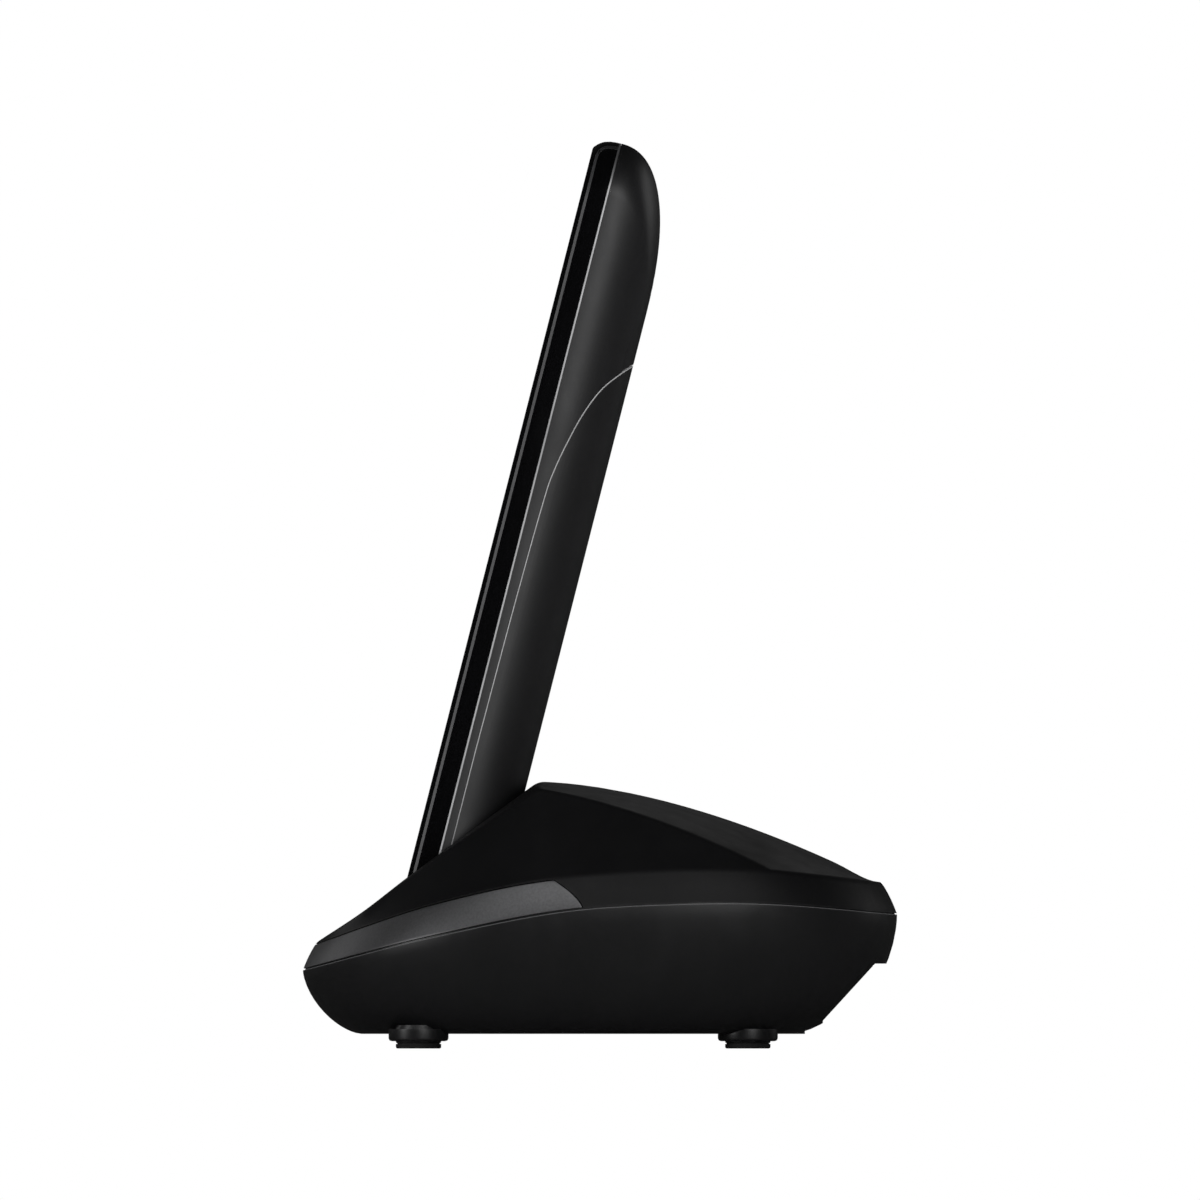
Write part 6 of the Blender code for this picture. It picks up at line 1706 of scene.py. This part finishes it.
def softbox(name, azimuth, elevation, distance, width, height, power):
    """A flat light facing the telephone. Azimuth 0 is in front (-Y) and 90 on the right (+X)."""
    light = bpy.data.lights.new(name, "AREA")
    light.shape = "RECTANGLE"
    light.size = width
    light.size_y = height
    light.energy = power
    lamp = bpy.data.objects.new(name, light)
    bpy.context.scene.collection.objects.link(lamp)
    turn, rise = math.radians(azimuth), math.radians(elevation)
    away = Vector((math.sin(turn) * math.cos(rise), -math.cos(turn) * math.cos(rise), math.sin(rise)))
    target = Vector((0, 0, 0.08))
    lamp.location = target + away * distance
    lamp.rotation_euler = (-away).to_track_quat("-Z", "Y").to_euler()
    return lamp


def make_stage():
    settings = bpy.context.scene.telephone_stage
    half = settings.floor_size / 2
    mesh = bpy.data.meshes.new("floor")
    mesh.from_pydata([(-half, -half, 0), (half, -half, 0), (half, half, 0), (-half, half, 0)], [],
                     [(0, 1, 2, 3)])
    floor = bpy.data.objects.new("floor", mesh)
    bpy.context.scene.collection.objects.link(floor)
    paper = bpy.data.materials.new("pale_paper")
    paper.use_nodes = True
    paper.node_tree.nodes["Principled BSDF"].inputs["Base Color"].default_value = (0.86, 0.86, 0.86, 1.0)
    paper.node_tree.nodes["Principled BSDF"].inputs["Roughness"].default_value = 0.9
    mesh.materials.append(paper)
    floor.visible_glossy = False
    world = bpy.data.worlds.new("studio")
    world.use_nodes = True
    bpy.context.scene.world = world
    nodes = Nodes(world.node_tree)
    back = world.node_tree.nodes["Background"]
    path = nodes.add("ShaderNodeLightPath")
    strength = nodes.span(path.outputs["Is Camera Ray"], 0.0, 1.0, settings.softness, 1.0)
    world.node_tree.links.new(strength, back.inputs["Strength"])
    back.inputs["Color"].default_value = (1.0, 1.0, 1.0, 1.0)
    softbox("side_light", 109, 8, 1.4, 0.6, 0.5, 4.6)
    softbox("front_light", 32, 6, 1.4, 0.4, 0.4, 4.6)
    upper = softbox("upper_light", 90, 44, 1.4, 1.8, 0.35, 6.2)
    left = softbox("left_light", 270, 30, 1.5, 0.9, 0.7, 0.5)
    softbox("back_light", 212, 12, 1.6, 0.9, 0.7, 1.4)
    softbox("face_light", 325, 16, 1.6, 0.9, 0.7, 1.4)
    only_base = bpy.data.collections.new("base_light_receivers")
    for item in bpy.data.objects:
        if item.name.startswith(("base_", "foot_", "page_")):
            only_base.objects.link(item)
    for light in (upper, left):
        light.light_linking.receiver_collection = only_base
    lamp = softbox("floor_light", 0, 90, 1.6, 1.6, 1.6, 60)
    only_floor = bpy.data.collections.new("floor_light_receivers")
    only_floor.objects.link(floor)
    lamp.light_linking.receiver_collection = only_floor
    camera = bpy.data.cameras.new("side_camera")
    camera.type = "ORTHO"
    camera.ortho_scale = settings.view_height
    camera.clip_start = 0.01
    camera.clip_end = 20.0
    eye = bpy.data.objects.new("side_camera", camera)
    bpy.context.scene.collection.objects.link(eye)
    eye.location = (1.5, 0.0, settings.view_middle)
    eye.rotation_euler = (math.radians(90), 0.0, math.radians(90))
    bpy.context.scene.camera = eye
    bpy.context.scene.view_settings.view_transform = "Standard"


# Operators --------------------------------------------------------------------------------------


class TELEPHONE_OT_finishes(bpy.types.Operator):
    """Make the procedural finishes, and dress the inner pieces that keep their own shape."""

    bl_idname = "telephone.finishes"
    bl_label = "Make Finishes"

    def execute(self, context):
        FINISHES.update(make_finishes())
        for name, finish in INNER.items():
            dress_node(name, finish)
        return {"FINISHED"}


class TELEPHONE_OT_base_shells(bpy.types.Operator):
    """Make the base's upper and lower housings, front trim and seam."""

    bl_idname = "telephone.base_shells"
    bl_label = "Make Base Shells"

    def execute(self, context):
        make_upper_housing()
        make_lower_housing()
        make_front_trim()
        make_seam_bead()
        return {"FINISHED"}


class TELEPHONE_OT_base_fittings(bpy.types.Operator):
    """Make the base's feet, page button, charge light and socket wires."""

    bl_idname = "telephone.base_fittings"
    bl_label = "Make Base Fittings"

    def execute(self, context):
        make_feet()
        make_page_button()
        make_socket_contacts()
        return {"FINISHED"}


class TELEPHONE_OT_handset_shells(bpy.types.Operator):
    """Make the handset's front case, silver line, rear case and battery door."""

    bl_idname = "telephone.handset_shells"
    bl_label = "Make Handset Shells"

    def execute(self, context):
        make_front_case()
        make_bezel_highlight_lines()
        make_trim_band()
        make_rear_case()
        return {"FINISHED"}


class TELEPHONE_OT_handset_face(bpy.types.Operator):
    """Make the display window, the earpiece cloth and the keys with their legends."""

    bl_idname = "telephone.handset_face"
    bl_label = "Make Window and Keys"

    def execute(self, context):
        make_window()
        make_speaker_mesh()
        make_keys()
        return {"FINISHED"}


class TELEPHONE_OT_screws(bpy.types.Operator):
    """Make the screws of the base and the handset."""

    bl_idname = "telephone.screws"
    bl_label = "Make Screws"

    def execute(self, context):
        make_screws()
        return {"FINISHED"}


class TELEPHONE_OT_stage(bpy.types.Operator):
    """Make the floor, the lights and the camera."""

    bl_idname = "telephone.stage"
    bl_label = "Make Stage"

    def execute(self, context):
        make_stage()
        return {"FINISHED"}


class TELEPHONE_PT_panel(bpy.types.Panel):
    """The telephone's settings and build steps."""

    bl_idname = "TELEPHONE_PT_panel"
    bl_label = "Telephone"
    bl_space_type = "VIEW_3D"
    bl_region_type = "UI"
    bl_category = "Telephone"

    def draw(self, context):
        for settings, title in SETTINGS_SHOWN:
            box = self.layout.box()
            box.label(text=title)
            group = getattr(context.scene, settings)
            for name in group.__annotations__:
                box.prop(group, name)
        for operator in OPERATORS:
            self.layout.operator(operator.bl_idname)


OPERATORS = (TELEPHONE_OT_finishes, TELEPHONE_OT_base_shells, TELEPHONE_OT_base_fittings,
             TELEPHONE_OT_handset_shells, TELEPHONE_OT_handset_face, TELEPHONE_OT_screws, TELEPHONE_OT_stage)
SETTINGS = (("telephone_base", BaseSettings, "Base"), ("telephone_handset", HandsetSettings, "Handset"),
            ("telephone_finish", FinishSettings, "Finishes"), ("telephone_stage", StageSettings, "Stage"))
SETTINGS_SHOWN = tuple((name, title) for name, group, title in SETTINGS)


def register():
    for name, group, title in SETTINGS:
        bpy.utils.register_class(group)
        setattr(bpy.types.Scene, name, bpy.props.PointerProperty(type=group))
    for operator in OPERATORS:
        bpy.utils.register_class(operator)
    bpy.utils.register_class(TELEPHONE_PT_panel)


def unregister():
    bpy.utils.unregister_class(TELEPHONE_PT_panel)
    for operator in reversed(OPERATORS):
        bpy.utils.unregister_class(operator)
    for name, group, title in reversed(SETTINGS):
        delattr(bpy.types.Scene, name)
        bpy.utils.unregister_class(group)


def main():
    register()
    bpy.ops.telephone.finishes()
    bpy.ops.telephone.base_shells()
    bpy.ops.telephone.base_fittings()
    bpy.ops.telephone.handset_shells()
    bpy.ops.telephone.handset_face()
    bpy.ops.telephone.screws()
    bpy.ops.telephone.stage()


if __name__ == "__main__":
    main()
